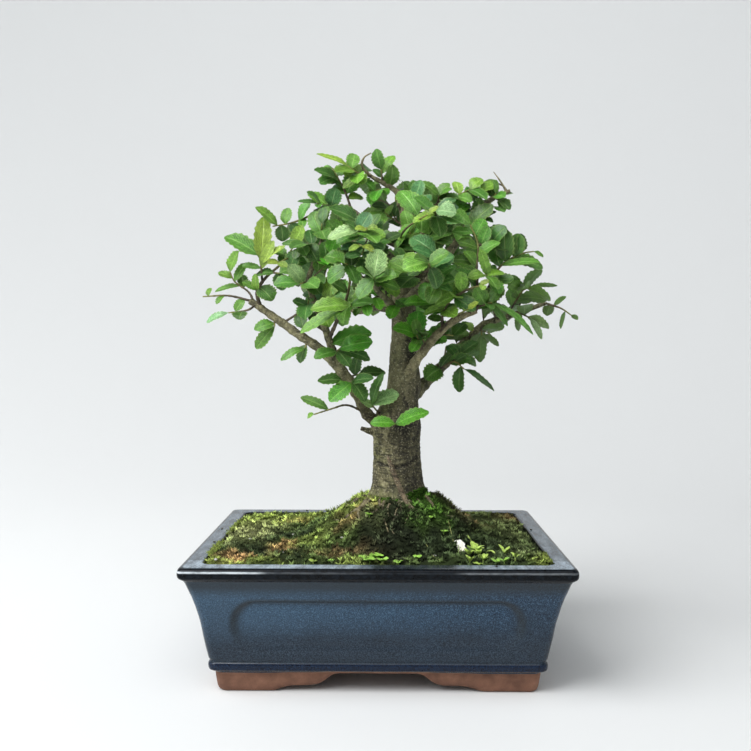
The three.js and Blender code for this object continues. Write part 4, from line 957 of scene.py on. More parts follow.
trunk_z = np.concatenate([np.linspace(TRUNK[0, 0], BURIED_TOP, BURIED_ROWS),
                          np.linspace(SEEN_FOOT, TRUNK[-1, 0], TRUNK_ROWS - BURIED_ROWS)])
angle = 2 * np.pi * np.arange(TRUNK_COLUMNS) / TRUNK_COLUMNS
centre_x, trunk_r, lobe, level = (row[:, None] for row in trunk_shape(trunk_z))
z = np.repeat(trunk_z[:, None], TRUNK_COLUMNS, 1)
r = trunk_r * (1 + lobe * np.cos(TRUNK_LOBES * angle[None] + 0.12 * level))
around = np.stack([np.cos(angle)[None] * r, np.sin(angle)[None] * r, z], -1)
front = smoothstep(0.1, -0.5, np.sin(angle))[None]
across = around[..., 0] / trunk_r

foot = 1 - smoothstep(88, 108, z)
strands = ridged(around * [1, 1, 0.16], 5.0, 31) * foot
wrinkle_zone = smoothstep(100, 107, z) * (1 - smoothstep(130, 136, z))
wrinkles = ridged(around * [0.3, 0.3, 2.2], 4.6, 32) * (0.25 + 0.75 * wrinkle_zone)
ring_zone = smoothstep(92, 98, z) * (1 - smoothstep(136, 150, z))
fine_rings = ridged(around * [0.18, 0.18, 2.4], 2.6, 41) * ring_zone
pits = smoothstep(0.35, 0.75, noise(around * [1, 1, 0.8], 1.9, 33))
swell = noise(around * [1, 1, 0.5], 8.0, 34)
fine = noise(around, 1.2, 35)
crack_z = 110.6 + 3.5 * ((across + 0.1) / 0.95) ** 2 + 0.5 * noise(around, 4.0, 36)
crack = np.exp(-((z - crack_z) / 0.8) ** 2) * front * smoothstep(1.0, 0.8, np.abs(across))
lower_crack = np.exp(-((z - 92.5 - 1.2 * across) / 0.5) ** 2) * front
collar = np.exp(-((z - 134.5) / 3.2) ** 2)
knot = np.exp(-(((across * trunk_r) + 1.5) / 3.6) ** 2 - ((z - 130) / 3.4) ** 2) * front
bulge = (0.55 * swell + 0.75 * strands + 0.3 * wrinkles + 0.22 * fine_rings - 0.28 * pits
         + 0.14 * fine + 0.9 * collar * noise(around, 4.5, 37) + 0.5 * collar - 1.2 * crack
         - 0.7 * lower_crack + knot * (0.5 + 0.9 * noise(around, 1.7, 38)))
bulge = bulge * np.minimum(1, trunk_r / 8)
trunk_grid = np.stack([centre_x + around[..., 0] + np.cos(angle)[None] * bulge,
                       around[..., 1] + np.sin(angle)[None] * bulge, z], -1)
trunk_part = closed_skin(trunk_grid)
# Painted shade: the bark is darker towards the right side, away from the lamp, and where the surface
# sinks in.
painted_shade = 0.42 * smoothstep(-0.35, 0.45, across) + 0.35 * smoothstep(0.1, -0.9, swell)
between_rings = (0.75 - np.maximum(wrinkles, fine_rings)) * smoothstep(92, 98, z)
dark = np.clip(1.2 * crack + 0.6 * lower_crack + 0.45 * pits + 0.3 * collar + 0.4 * between_rings
               + painted_shade, 0, 1)
algae = smoothstep(-0.1, 0.7, noise(around * [1, 1, 0.6], 7.0, 39)) * smoothstep(0.5, -0.7, across)
algae = np.maximum(algae, smoothstep(101, 88, z + 5 * noise(around, 3.0, 40)))
trunk_part["values"] = {"dark": np.append(dark.ravel(), [0, 0]),
                        "algae": np.append(algae.ravel(), [0, 0]),
                        "young": np.append(smoothstep(236, 262, z).ravel(), [0, 1])}
print("trunk rings:", len(trunk_z), " points round:", TRUNK_COLUMNS)

# %% [markdown]
# ## The wood: branches
# The branches leave the trunk in a swollen collar and run out with a slight zigzag, because an elm's
# twig turns a little at each bud. Each is a tube along its own course, thinner towards its end, with
# a knuckle every few millimetres. An aerial root runs down the front of the trunk as one more tube.

# %% Branches
def branch(radii, tan, via):
    """Radii at foot and end, how tan its bark is (1) or dark (-1), and its points."""
    return {"radii": radii, "tan": tan, "via": placed(via)}


BRANCHES = [
    branch([4.7, 2.4], 0.42, [[6, 0, 130], [-6, -4, 139], [-13, -8, 152], [-21, -11, 164],
           [-34, -12, 177.5], [-48, -10, 187], [-62, -7, 197], [-75, -4, 206]]),
    branch([2.4, 1.1], 0, [[-21, -11, 164], [-27, -13, 177], [-32, -15, 192], [-38, -17, 206],
           [-41, -17, 218], [-37, -15, 230], [-33, -12, 242]]),
    branch([2.7, 1.1], 0, [[2, -2, 129], [-6, -3.5, 130], [-10.5, -4, 131.4]]),
    branch([1.7, 0.9], -0.5, [[10, 3, 200], [-3, 14, 201.5], [-13, 24, 199.5], [-25, 38, 206],
           [-36, 50, 216]]),
    branch([4.2, 1.9], 0.9, [[15, -4, 157], [20, -10, 168], [27, -14, 178], [36, -18, 188],
           [46, -22, 195.5], [57, -25, 200]]),
    branch([3.8, 1.2], -0.2, [[18, 4, 150], [29, 14, 160], [41, 26, 172], [52, 34, 184],
           [62, 38, 192.5], [75, 40, 196.5], [86, 41, 200.5], [97, 41, 204.5]]),
    branch([3.6, 1.1], 0, [[15, 3, 205], [25, 7, 217], [35, 9, 227], [44, 10, 238], [51, 10, 249],
           [56, 9, 257], [65, 8, 264.5], [76, 8, 269.5]]),
    branch([0.75, 0.2], 1, [[74.5, 8, 268.5], [70.5, 8, 275], [66.5, 8, 280.5]]),
    branch([2.1, 0.35], 0.7, [[13.5, 0, 261], [11, 0, 268.5], [2, -1, 274.5], [-5, -2, 278.5],
           [-9.7, -3, 284], [-8.5, -3, 289], [-4.5, -3, 291.5]]),
    branch([2.7, 1], 0.1, [[13, -4, 196], [7, -20, 204], [0, -36, 211], [-4, -52, 216]]),
    branch([2.5, 1], 0.1, [[16, -4, 206], [23, -20, 213], [29, -36, 219], [31, -52, 224]]),
    branch([2.1, 0.9], 0, [[16, -2, 222], [8, -16, 231], [-2, -30, 239], [-8, -44, 244]]),
    branch([2.1, 0.9], 0, [[16, -2, 230], [23, -15, 241], [30, -27, 250], [33, -38, 254]]),
    branch([3, 1], 0, [[14, 4, 189], [12, 24, 200], [7, 44, 208], [2, 64, 213]]),
    branch([2.4, 1], 0, [[12, 2, 212], [-4, 20, 222], [-18, 36, 230], [-33, 48, 235]]),
    branch([2.6, 1], 0, [[17, 4, 214], [29, 24, 225], [42, 42, 233], [55, 54, 237]]),
    branch([2, 0.9], 0, [[15.5, 1, 236], [15, 16, 248], [10, 32, 257], [8, 48, 261]]),
]

BUD_GAP, BRANCH_SIDES = 7.5, 20
# The two thick tan branches are this much thinner than the CAD model's.
TAN_SHARE = 0.78


def branch_part(one, number):
    """A tube whose radius falls in a line from foot to end, times a flare at the foot,
    1 + 0.35 exp(-(s / (1.6 r0 + 2.5))^2), and a knuckle at each bud, 1 + 0.13 exp(-(d / 1.3)^2),
    and times noise."""
    thick_and_tan = one["tan"] > 0.4 and one["radii"][0] > 4
    foot, end = np.multiply(one["radii"], TAN_SHARE if thick_and_tan else 1)
    course = Course(one["via"])

    def radius(s, angle):
        plain = foot + (end - foot) * s / course.length
        offset = (s + 2.1 * number) % BUD_GAP - BUD_GAP / 2
        knuckle = 0.13 * np.exp(-(offset / 1.3) ** 2)
        flare = 0.35 * np.exp(-(s / (1.6 * foot + 2.5)) ** 2)
        shape = np.stack([plain * np.cos(angle), plain * np.sin(angle), s + 0 * angle], -1)
        rough = 0.09 * noise(shape, 4.5, number) + 0.06 * noise(shape, 1.5, number + 50)
        return plain * (1 + knuckle + flare) * (1 + rough)

    part, s = tube(course, radius, BRANCH_SIDES, int(course.length / 0.85) + 2)
    share = np.append(np.repeat(s / course.length, BRANCH_SIDES), [0, 1])
    width = foot + (end - foot) * share
    dark = 0.42 + 0.6 * noise(part["points"], 2.0, number + 90)
    tan = one["tan"] * (0.55 + 0.9 * share)
    part["values"] = {"dark": np.clip(dark - 0.32 * tan, 0, 1), "algae": 0.35,
                      "young": np.maximum(smoothstep(1.6, 0.8, width), 0.7 * np.maximum(tan, 0))}
    return part


# Roots that show on the mound: bearing from the trunk in degrees, length and radius at the trunk.
SURFACE_ROOTS = [[-150, 24, 1.5], [-138, 18, 1.2], [-124, 12, 1.0], [-114, 18, 0.7], [-108, 26, 0.6],
                 [-102, 13, 0.7], [-97, 21, 0.5], [-91, 16, 0.8], [-87, 27, 0.5], [-80, 12, 0.6],
                 [-74, 22, 0.5], [-66, 15, 0.7], [-56, 12, 0.9], [-28, 20, 1.2], [38, 22, 1.2],
                 [75, 14, 0.9], [112, 24, 1.3], [182, 22, 1.3], [214, 16, 1.1]]
AERIAL_ROOT = [[5.0, -11.8, 117], [8.9, -15, 107.1], [12.4, -16.0, 98.3], [15.6, -18.2, 91],
               [17.7, -20.3, 86.1], [20, -21, 78]]


def surface_root(bearing, long, thick, number):
    """A tube that leaves the trunk along a bearing, wanders, dips in and out of the moss and sinks
    into it at its end: its height is the moss's, plus 0.9 mm at the trunk and less 1.6 at the end."""
    far, share = np.linspace(14, 17 + long, 9), np.linspace(0, 1, 9)
    turn = np.radians(bearing + 14 * share * np.sin(2.6 * number + 5 * share))
    x, y = TREE_X + far * np.cos(turn), far * np.sin(turn)
    height = moss_height(x, y) + 0.9 - 2.5 * share ** 1.5 + 0.7 * np.sin(9 * share + number) * share
    height[0] += 2.5
    course = Course(np.column_stack([x, y, height]))

    def radius(s, angle):
        waves = 0.16 * np.sin(2.3 * s) + 0.12 * np.cos(3 * angle + s)
        return thick * (1 - 0.55 * s / course.length) * (1 + waves)

    part, _ = tube(course, radius, 10, int(long) + 12)
    spots = noise(part["points"], 2.4, 60 + number)
    part["values"] = {"dark": np.clip(0.4 + 0.6 * spots, 0, 1),
                      "algae": smoothstep(-0.2, 0.6, -spots), "young": 0.6}
    return part


def aerial_root():
    """A tube down the front of the trunk, pointed at its top, with waves of 2 and 3 mm in it."""
    course = Course(AERIAL_ROOT)

    def radius(s, angle):
        waves = 0.1 * np.sin(1.9 * s) * np.cos(angle) + 0.09 * np.sin(4.1 * s)
        taper = 0.45 + 0.55 * smoothstep(0, 7, s)
        return (1.55 - 0.2 * s / course.length) * taper * (1 + waves)

    part, _ = tube(course, radius, 18, 60)
    spots = noise(part["points"], 2.0, 77)
    part["values"] = {"dark": np.clip(0.2 + 0.4 * spots, 0, 1), "young": 1}
    return part


def bark_finish():
    paint = Finish("elm_bark", 0.82)
    z = paint.axis("Z")
    mottle = paint.grain(4.5, detail=5, rough=0.6, stretch=(1, 1, 0.6))
    specks = paint.grain(0.9, detail=3, rough=0.7)
    rings = paint.grain(1.1, detail=3, rough=0.6, stretch=(0.22, 0.22, 1))
    on_trunk = z.levels(0.094, 0.1) * z.levels(0.152, 0.14)
    ring_lines = rings.levels(0.5, 0.38) * on_trunk
    green = mottle.ramp((0.3, (54, 62, 28)), (0.7, (122, 130, 70)))
    reddish = mottle.ramp((0.3, (78, 60, 44)), (0.7, (186, 164, 134)))
    colour = mottle.ramp((0.28, (46, 44, 30)), (0.43, (92, 87, 60)), (0.56, (132, 127, 92)),
                         (0.72, (172, 166, 128)))
    for amount, over in ((paint.carried("algae") * 0.65, green),
                         (paint.carried("young") * 0.75, reddish),
                         (z.levels(0.136, 0.16) * 0.4, (142, 142, 102)),
                         (ring_lines * 0.72, (32, 31, 23)),
                         (paint.carried("dark") * specks.levels(0.3, 0.6, 0.65, 1.1), (34, 31, 24)),
                         (paint.grain(1.1, detail=2).levels(0.56, 0.68, 0, 0.6), (176, 170, 138)),
                         (paint.grain(0.8, detail=2).levels(0.46, 0.34, 0, 0.62), (30, 29, 22))):
        colour = colour.coat(amount, over)
    return paint.dress(colour, specks + mottle * 1.5 - ring_lines, depth_mm=0.5, strength=0.85)


wood_parts = [trunk_part, aerial_root()]
wood_parts += [surface_root(*one, number) for number, one in enumerate(SURFACE_ROOTS)]
wood_parts += [branch_part(one, number + 1) for number, one in enumerate(BRANCHES)]
_, triangles = make_piece("tree_bark", wood_parts, [bark_finish()], ["tree_wood"])
print("wood triangles:", triangles, " branches:", len(BRANCHES))

# %% [markdown]
# ## Leaves: where they grow
# Each spray is a twig or two with leaves. The leaves that make the tree's outline are listed by
# their tips, and the rest follow the twig's rule: in turn left and right, 35 to 80 degrees from it.
# No leaf may run through the wood, another twig or another leaf, so each one is tried at one angle
# after another until it is clear, as the CAD model does, and it then stands where that model's leaf
# stands. The numbers that look random come from chance(), a sine rule that gives the same every run.

# %% Leaf placing
WOOD_CLEARANCE, LEAF_CLEARANCE, LEAF_SPACING = 1.7, 2.3, 2.4
LEAF_FOLD, LEAF_ARCH = 0.22, 0.3
TWIG_RADIUS, TWIG_END = 1.0, 0.65
SAMPLE_U = np.array([0.3, 0.44, 0.58, 0.72, 0.86, 1])
SAMPLE_WIDTH = np.array([0.75, 1, 0.95, 0.84, 0.45, 0])


def chance(a, b):
    """A number from 0 to 1: the fraction of sin(12.9898 a + 78.233 b) * 43758.5453."""
    s = math.sin(a * 12.9898 + b * 78.233) * 43758.5453
    return s - math.floor(s)


def make_leaf(foot, tip, face, width, tone, spread=1.0):
    """A leaf's frame: along it, up from its face and across it, with its length and half width.
    spread is how far its own shade may stray from its tone."""
    along = tip - foot
    length = float(np.linalg.norm(along))
    along = along / length
    up = unit(face - along * (face @ along))
    return {"foot": foot, "along": along, "up": up, "side": np.cross(up, along), "length": length,
            "half": width / 2, "tone": tone, "spread": spread}


def blade_points(leaf, u, across):
    """foot + u * along + across * side + lift * up, where the lift is a fold of 0.22 |across| and an
    arch of 0.3 * length * u (1 - u)."""
    lift = LEAF_FOLD * np.abs(across) + LEAF_ARCH * leaf["length"] * u * (1 - u)
    return (leaf["foot"] + (u * leaf["length"])[..., None] * leaf["along"]
            + across[..., None] * leaf["side"] + lift[..., None] * leaf["up"])


def blade_samples(leaf):
    """Five points across the blade at six places along it."""
    across = SAMPLE_WIDTH[:, None] * leaf["half"] * np.array([-1, -0.5, 0, 0.5, 1])[None]
    return blade_points(leaf, np.repeat(SAMPLE_U[:, None], 5, 1), across).reshape(-1, 3)


def line_samples(points, foot, end):
    """Points every 2 mm along a tube's middle line, each with the tube's radius there."""
    course = Course(points)
    count = math.ceil(course.length / 2)
    share = np.arange(count + 1) / count
    return np.column_stack([course.at(course.length * share), foot + (end - foot) * share])


def facing(y, seed, trial):
    """Leaves look up and outwards: to the front on the near side, and to the back on the far side."""
    return np.array([0.9 * (chance(seed, trial + 0.5) - 0.5), -0.75 if y < 20 else 0.7, 0.7])


def own_leaf(bud, look, seed, trial):
    """A leaf of the outline, with its tip bent forwards or back a little more at each trial."""
    x, tip_z, width, tone = look
    foot = bud["foot"]
    swing = (5 + 0.5 * trial) * 2 * (chance(seed, trial) - 0.5)
    tip = placed([x, foot[1] + swing, tip_z])
    return make_leaf(foot, tip, facing(foot[1], seed, trial), width, tone, spread=0.3)


def rule_leaf(bud, long, tone, seed, trial):
    """A leaf that follows the twig's rule."""
    foot, way = bud["foot"], bud["way"]
    face = facing(foot[1], seed, trial)
    side = unit(np.cross(face, way))
    turn = math.radians(35 + 45 * chance(seed, trial + 0.2))
    hand = 1 if (math.floor(seed) + trial) % 2 else -1
    dip = 0.5 * (chance(seed, trial + 0.7) - 0.6)
    along = unit(way * math.cos(turn) + side * hand * math.sin(turn) + np.array([0, 0, dip]))
    length = long * (0.75 + 0.4 * chance(seed, trial + 0.9))
    return make_leaf(foot, foot + along * length, face, 0.56 * length, tone)


def bud_at(course, s):
    """The point of a course that a leaf grows from, and the way of the course there."""
    return {"foot": course.at(s), "way": course.way(s)}


def buds_on(one):
    """Every leaf of a twig from its end back, each foot moved clear of the one before. A leaf of the
    outline has its look, and one that follows the rule has none."""
    course = Course(one["via"])
    wanted = [(at, look) for at, *look in one["own"]]
    wanted += [(0.3 + 0.7 * (k + 0.4) / one["more"], None) for k in range(one["more"])]
    free, buds = course.length, []
    for at, look in sorted(wanted, key=lambda pair: -pair[0]):
        s = min(at * course.length, free)
        buds.append({**bud_at(course, s), "look": look})
        free = s - LEAF_SPACING
    return buds


class Canopy:
    """What a new leaf has to keep clear of: the wood, the twigs and the leaves that are there."""

    def __init__(self, twig_lines):
        # A test along the trunk is only as fine as the CAD model's own, 13 mm falling to 3 mm.
        trunk_line = np.column_stack([TRUNK[:, 1], 0 * TRUNK[:, 0], TRUNK[:, 0]])
        lines = [line_samples(trunk_line, 13, 3)]
        lines += [line_samples(one["via"], *one["radii"]) for one in BRANCHES]
        self.wood = np.vstack(lines)
        self.twigs = np.vstack([line for line, _ in twig_lines])
        self.twig_owner = np.concatenate([np.full(len(line), owner) for line, owner in twig_lines])
        self.samples, self.middles, self.lengths = [], [], []

    def clear(self, leaf, owner, wood_gap, leaf_gap):
        """True where the blade keeps these gaps to the wood, to others' twigs and to leaves."""
        samples = blade_samples(leaf)
        middle = blade_points(leaf, np.array(0.6), np.array(0.0))
        for line in (self.wood, self.twigs[self.twig_owner != owner]):
            near = line[np.linalg.norm(line[:, :3] - middle, axis=1) < leaf["length"]]
            gaps = np.linalg.norm(samples[:, None] - near[None, :, :3], axis=-1) - near[None, :, 3]
            if gaps.size and gaps.min() < wood_gap:
                return False
        far = np.linalg.norm(np.reshape(self.middles, (-1, 3)) - middle, axis=1)
        close = np.flatnonzero(far < (leaf["length"] + np.array(self.lengths)) * 0.6)
        if not len(close):
            return True
        others = np.concatenate([self.samples[k] for k in close])
        return np.linalg.norm(samples[:, None] - others[None], axis=-1).min() >= leaf_gap

    def add(self, leaf):
        self.samples.append(blade_samples(leaf))
        self.middles.append(blade_points(leaf, np.array(0.6), np.array(0.0)))
        self.lengths.append(leaf["length"])


def twig(via, own=(), more=2, long=15, radius=TWIG_RADIUS):
    """A twig's course, the leaves of the outline, how many more it has, and their length."""
    return {"via": placed(via), "own": own, "more": more, "long": long, "radius": radius}

# %% [markdown]
# The sprays, from the left round to the back. A leaf of the outline is [place along the twig, tip x,
# tip z, width, tone]. The tones are y yellow-green, b bright, v vivid, m mid, d deep, p pale
# and s sea green, and each spray starts with the tone of the leaves that its rule adds. The tones are
# partly each leaf's own green and partly painted light: deep stands partly for leaves in shade, bright
# and yellow-green partly for light shining through, and pale and sea green partly for a painted sheen.

# %% Sprays
SPRAYS = {
    "left_tip": ("m", twig([[-72, -5, 204], [-77, -9, 200.5], [-88, -8, 199]],
            [[1, -101, 193.5, 4.6, "p"], [0.55, -82, 195, 8, "d"]], more=0)),
    "left_bare": ("m", twig([[-75, -4, 206], [-88, -4, 209], [-103, -3, 208.5]],
            [[0.88, -98.5, 213.5, 3.4, "b"], [0.55, -95, 204, 4, "m"]], more=0)),
    "left_tuft": ("m", twig([[-73, -4, 204.5], [-76, 1, 211], [-84, 2, 217], [-87, 2, 223]],
            [[1, -81.5, 235, 8.6, "b"], [0.85, -94, 222.5, 5, "b"], [0.6, -96, 211, 4.4, "m"],
            [0.85, -77, 228, 5, "b"]], more=1, long=10)),
    "left_riser": ("m", twig([[-69, -5, 201.5], [-71, -8, 211], [-66, -7, 219.5], [-57, -7, 227.5],
            [-50, -10, 237]], [[1, -44.5, 250, 6.8, "y"], [0.85, -62, 236, 6.4, "m"],
            [0.85, -42, 228, 7, "m"], [0.3, -62, 206, 10.4, "d"], [0.25, -80, 217, 5, "m"]],
            radius=1.7),
        twig([[-68, -7, 217], [-69.3, -8, 232]], [[1, -90, 243.5, 10.6, "m"], [1, -67, 255, 9, "y"],
            [0.95, -54.5, 238, 5.4, "y"], [0.6, -80, 226.5, 4, "m"]], more=0),
        twig([[-63, -7, 222.5], [-58, -13, 222]], [[1, -50, 225, 7, "m"], [0.9, -56, 212, 8.4, "d"],
            [0.6, -72, 221, 6, "d"]], more=1)),
    "upper_left": ("m", twig([[15, -1, 236], [3, -6, 241], [-7, -8, 247], [-12, -7, 256],
            [-19, -5, 260], [-31, -3, 260], [-42, -4, 254.5], [-52, -5, 251], [-62, -5, 249.3]],
            [[0.97, -72, 260.5, 7, "b"], [0.96, -56, 240.5, 7.6, "d"],
            [0.92, -52.5, 260, 6.4, "m"], [0.88, -46, 243, 7, "d"]], more=1, radius=1.9),
        twig([[-26, -4, 260.3], [-36, -11, 262.5]], [[1, -47.5, 263.5, 4, "d"],
            [0.9, -42, 269, 7, "m"], [0.4, -25, 271.5, 8.6, "s"], [0.7, -35, 246, 9.4, "d"]],
            more=1),
        twig([[-16, -6, 259], [-20, -3, 270], [-27, -2, 283]], [[0.72, -35.5, 276.5, 7.4, "m"],
            [0.8, -18, 283.5, 4, "m"], [0.45, -29, 270, 8, "s"], [0.3, -9, 265.5, 7, "b"]])),
    "left_inner": ("d", twig([[-35, -14, 236], [-42, -17, 239], [-49, -18, 235]],
            [[0.5, -36, 229, 9.6, "d"], [0.9, -52, 224, 8, "d"]])),
    "left_outer": ("m", twig([[-41, -17, 217], [-46, -22, 216]], [[1, -61.5, 215.5, 8.6, "m"],
            [0.9, -53, 227, 8, "p"], [0.5, -34, 210, 8, "d"]])),
    "bead_twig": ("d", twig([[-56, -8, 193], [-49, -9, 197.5], [-42, -13, 201.5], [-41, -20, 208]],
            [[0.7, -50.5, 206, 6, "d"], [1, -36, 215, 7, "d"]])),
    "top_long": ("b", twig([[-4, -2, 278], [-12, -8, 280], [-18, -10, 284]],
            [[1, -36.5, 291, 5, "y"], [0.95, -14, 291, 7, "b"], [0.4, -21, 271, 6, "b"]])),
    "crown": ("m", twig([[2, -1, 274.5], [1.5, -3, 282]], [[1, -1.5, 294, 6.8, "m"],
            [0.95, 9, 290, 6.8, "b"], [0.35, 12, 276, 8, "d"], [0.5, -8, 270, 7, "b"]], more=1)),
    "top_middle": ("m", twig([[12, 0, 265], [17, 2, 270]], [[1, 22, 275, 5, "m"],
            [0.8, 13, 276, 4, "m"], [0.7, 27, 266, 8, "b"]])),
    "top_ridge": ("m", twig([[15.5, 1, 246], [26, 3, 256], [36, 5, 263], [47, 6, 267.5],
            [53, 6, 270.5]], [[0.85, 44, 275, 6, "y"], [1, 60, 276.5, 7.4, "b"],
            [0.95, 57, 264, 8, "d"]], radius=1.9),
        twig([[34, 5, 262], [35, 3, 267]], [[1, 24, 275, 6, "m"], [0.95, 41, 274, 8.6, "m"],
            [0.6, 44, 259, 8, "s"]], more=1)),
    "spike_tuft": ("m", twig([[66, 8, 265], [68, 6, 268]], [[1, 66, 276, 6, "b"],
            [0.9, 76, 258.5, 7, "d"], [0.5, 60, 258, 8, "m"], [0.9, 78, 268, 4.4, "d"]])),
    "spike_under": ("d", twig([[55, 9, 255.5], [60, 4, 253]], [[1, 66.5, 251.5, 5.6, "d"],
            [0.9, 56, 243, 8, "d"]])),
    "right_riser": ("m", twig([[53, -25, 198.5], [57, -26, 212], [57, -24, 226], [57.5, -20, 239],
            [53, -17, 250]], [[1, 42, 258, 7, "b"]], more=4, radius=1.3),
        twig([[57.4, -20, 238], [66, -17, 240]], [[0.5, 63.5, 249, 6.4, "m"], [1, 74, 249, 9, "d"],
            [0.95, 77, 235, 8.4, "d"]], more=1)),
    "right_long": ("m", twig([[56, -25, 199.5], [61, -24, 208], [65, -21, 216], [70, -18, 225],
            [76, -16, 230], [84, -15, 233.5], [90, -15, 234.5]], [[1, 95.5, 231, 3.4, "m"],
            [0.85, 82, 245, 7, "d"], [0.7, 95.5, 225, 9.4, "m"]], more=1, radius=1.2),
        twig([[66, -21, 218], [62, -30, 221]], [[1, 52, 219, 7, "b"], [0.9, 73, 222, 6.4, "b"],
            [0.7, 59, 236, 5, "b"]], more=1),
        twig([[59, -25, 203], [66, -30, 205]], [[0.8, 75, 191, 4.4, "m"], [1, 90, 186, 4.4, "m"],
            [0.6, 56, 214, 8, "m"]], more=1)),
    "right_upright": ("m", twig([[74, 40, 196], [80, 34, 206], [84, 30, 212], [88, 25, 213.5]],
            [[1, 104, 214.5, 3.6, "m"], [0.9, 100, 206, 8.6, "m"], [0.6, 77, 221, 7.6, "m"]])),
    "right_tip": ("m", twig([[97, 41, 204.5], [106, 41, 201.5], [112, 41, 197.5]],
            [[1, 116, 195, 3, "m"], [0.75, 106, 189.5, 3, "m"], [0.3, 109, 208.5, 3.4, "m"],
            [0.2, 98, 197, 6.6, "d"]], more=0)),
    "right_low": ("m", twig([[82, 41, 199], [88, 34, 196]], [[0.9, 99, 189.5, 7.4, "p"],
            [1, 95, 183.5, 3.8, "p"], [0.5, 81, 188.5, 6.4, "d"]], more=1)),
    "right_under": ("d", twig([[60, 37, 191], [60, 27, 186]], [[0.6, 70, 190, 5.6, "d"],
            [1, 70, 179.5, 5, "d"], [0.95, 59, 170, 7, "d"], [0.7, 50, 180, 8.6, "d"]], more=1)),
    "hanging_right": ("d", twig([[30, 16, 161.5], [37, 10, 167], [44, 5, 170.5], [50, 2, 166]],
            [[0.35, 27, 160, 10.6, "m"], [0.55, 54, 172.5, 8.4, "m"], [1, 67.5, 153, 5.8, "d"],
            [0.9, 47, 152.5, 7, "d"]], more=0, radius=1.3),
        twig([[42, 6, 169.7], [48, 14, 175]], [[0.7, 40, 180, 5.6, "d"], [1, 58, 182, 8, "d"],
            [0.8, 57, 168, 6, "d"]], more=1)),
    "trunk_pair": ("b", twig([[10, -6, 131.5], [9.5, -17, 134]], [[1, -5, 134.5, 6.6, "v"],
            [1, 29.5, 141, 8.8, "v"]], more=0)),
    "pale_pair": ("p", twig([[2, -4, 138], [-4, -13, 145]], [[1, 12, 151.5, 9.8, "p"],
            [0.9, -11, 147.5, 5.6, "p"]], more=0)),
    "low_left": ("m", twig([[-6, -4, 139], [-14, -9, 143.5], [-20, -11, 145], [-27, -12, 143],
            [-38, -13, 139.5]], [[1, -42, 137.5, 3.6, "b"], [0.75, -46, 149.5, 5.6, "m"]],
            more=0)),
    "low_leaves": ("m", twig([[-16, -9, 157], [-16, -18, 159]], [[1, -8, 147, 8.8, "d"],
            [0.95, -3, 160.5, 7, "d"], [0.8, -37, 155, 7, "m"], [0.9, -29, 147, 9.2, "v"]],
            more=0)),
    "inner_dark": ("d", twig([[-19, -10, 161], [-12, 2, 163]], [[1, 4, 164, 8, "d"],
            [0.7, -12, 174, 8, "d"]], more=0)),
    "inner_big": ("m", twig([[-26, -13, 175], [-23, -21, 178]], [[1, -3.5, 182, 10.6, "v"],
            [0.9, -5, 171.5, 7, "d"], [0.6, -38, 172.5, 8, "m"]], more=0)),
    "under_left": ("m", twig([[-42, -11, 183], [-43, -14, 178.5]], [[1, -57.5, 171, 5, "m"],
            [0.9, -46, 169.5, 7, "d"]], more=0)),
    "under_far_left": ("m", twig([[-61, -7, 196.5], [-61, -10, 191]], [[1, -72, 178, 7, "m"],
            [0.8, -73, 189, 6.6, "m"]], more=0)),
    "front_left": ("m", twig([[-29, -14, 184], [-25, -21, 193], [-20, -28, 204], [-17, -36, 216],
            [-18, -48, 226], [-20, -56, 228]], [[1, -31, 232, 9, "m"], [0.9, -13, 216, 9, "m"],
            [0.85, -30, 217, 8.6, "m"]], radius=1.6),
        twig([[-20, -28, 204], [-16, -38, 203]], [[1, -40, 201, 10.6, "b"], [0.9, -46, 187, 7, "b"],
            [0.8, -21, 192, 8.4, "b"], [0.6, -4, 206, 9.6, "b"]], more=1)),
    "front_middle": ("m", twig([[-3, -46, 214.5], [-3, -64, 220]], [[1, 0, 236, 10, "p"],
            [0.7, 12, 213, 9.6, "m"], [0.8, -12, 207, 9, "m"]])),
    "front_right": ("m", twig([[30.5, -47, 222.5], [29, -64, 228]], [[1, 14, 224, 11.4, "b"],
            [0.9, 41, 234, 8, "m"], [0.6, 34, 213, 8.6, "d"]])),
    "front_high_left": ("m", twig([[-7.5, -41, 243.5], [-12, -56, 247]], [[1, -30, 242, 8, "p"],
            [0.9, -5, 257, 8.6, "s"], [0.6, 4, 243, 8, "b"]])),
    "front_high_right": ("m", twig([[33, -35, 253.5], [33, -50, 258]], [[1, 45, 257, 10, "p"],
            [0.8, 20, 251, 6, "y"], [0.7, 36, 243, 8.4, "d"]])),
    "middle_right": ("b", twig([[37, -19, 189], [37, -23, 197], [41, -29, 205], [48, -36, 211]],
            [[1, 48, 223, 6.4, "b"], [0.9, 33, 203, 6, "b"], [0.8, 56, 200, 9.4, "d"],
            [0.5, 26, 198, 5, "b"]])),
    "trunk_cover": ("m", twig([[26, -14, 176], [22, -24, 186]], [[1, 8, 190, 9, "v"],
            [0.9, 23, 200, 10.4, "v"], [0.6, 19, 176, 6.4, "v"]], more=0)),
    "back_low": ("d", twig([[3, 60, 212.5], [-2, 78, 215]], more=5, long=17),
        twig([[0, 70, 213.5], [12, 80, 210]], more=3, long=16)),
    "back_left": ("d", twig([[-31, 46, 234.5], [-46, 60, 238]], more=5, long=16)),
    "back_far_left": ("d", twig([[-34, 48, 214.5], [-50, 60, 222]], more=5, long=16)),
    "back_right": ("d", twig([[53, 52, 236.5], [64, 66, 238]], more=5, long=16)),
    "back_top": ("d", twig([[8.5, 45, 260.5], [5, 62, 262]], more=5, long=16)),
    "back_right_low": ("d", twig([[68, 39, 195], [66, 54, 203], [60, 68, 208]], more=6, long=16)),
    "back_middle": ("d", twig([[9, 38, 205.5], [22, 54, 212], [30, 66, 220]], more=6, long=16)),
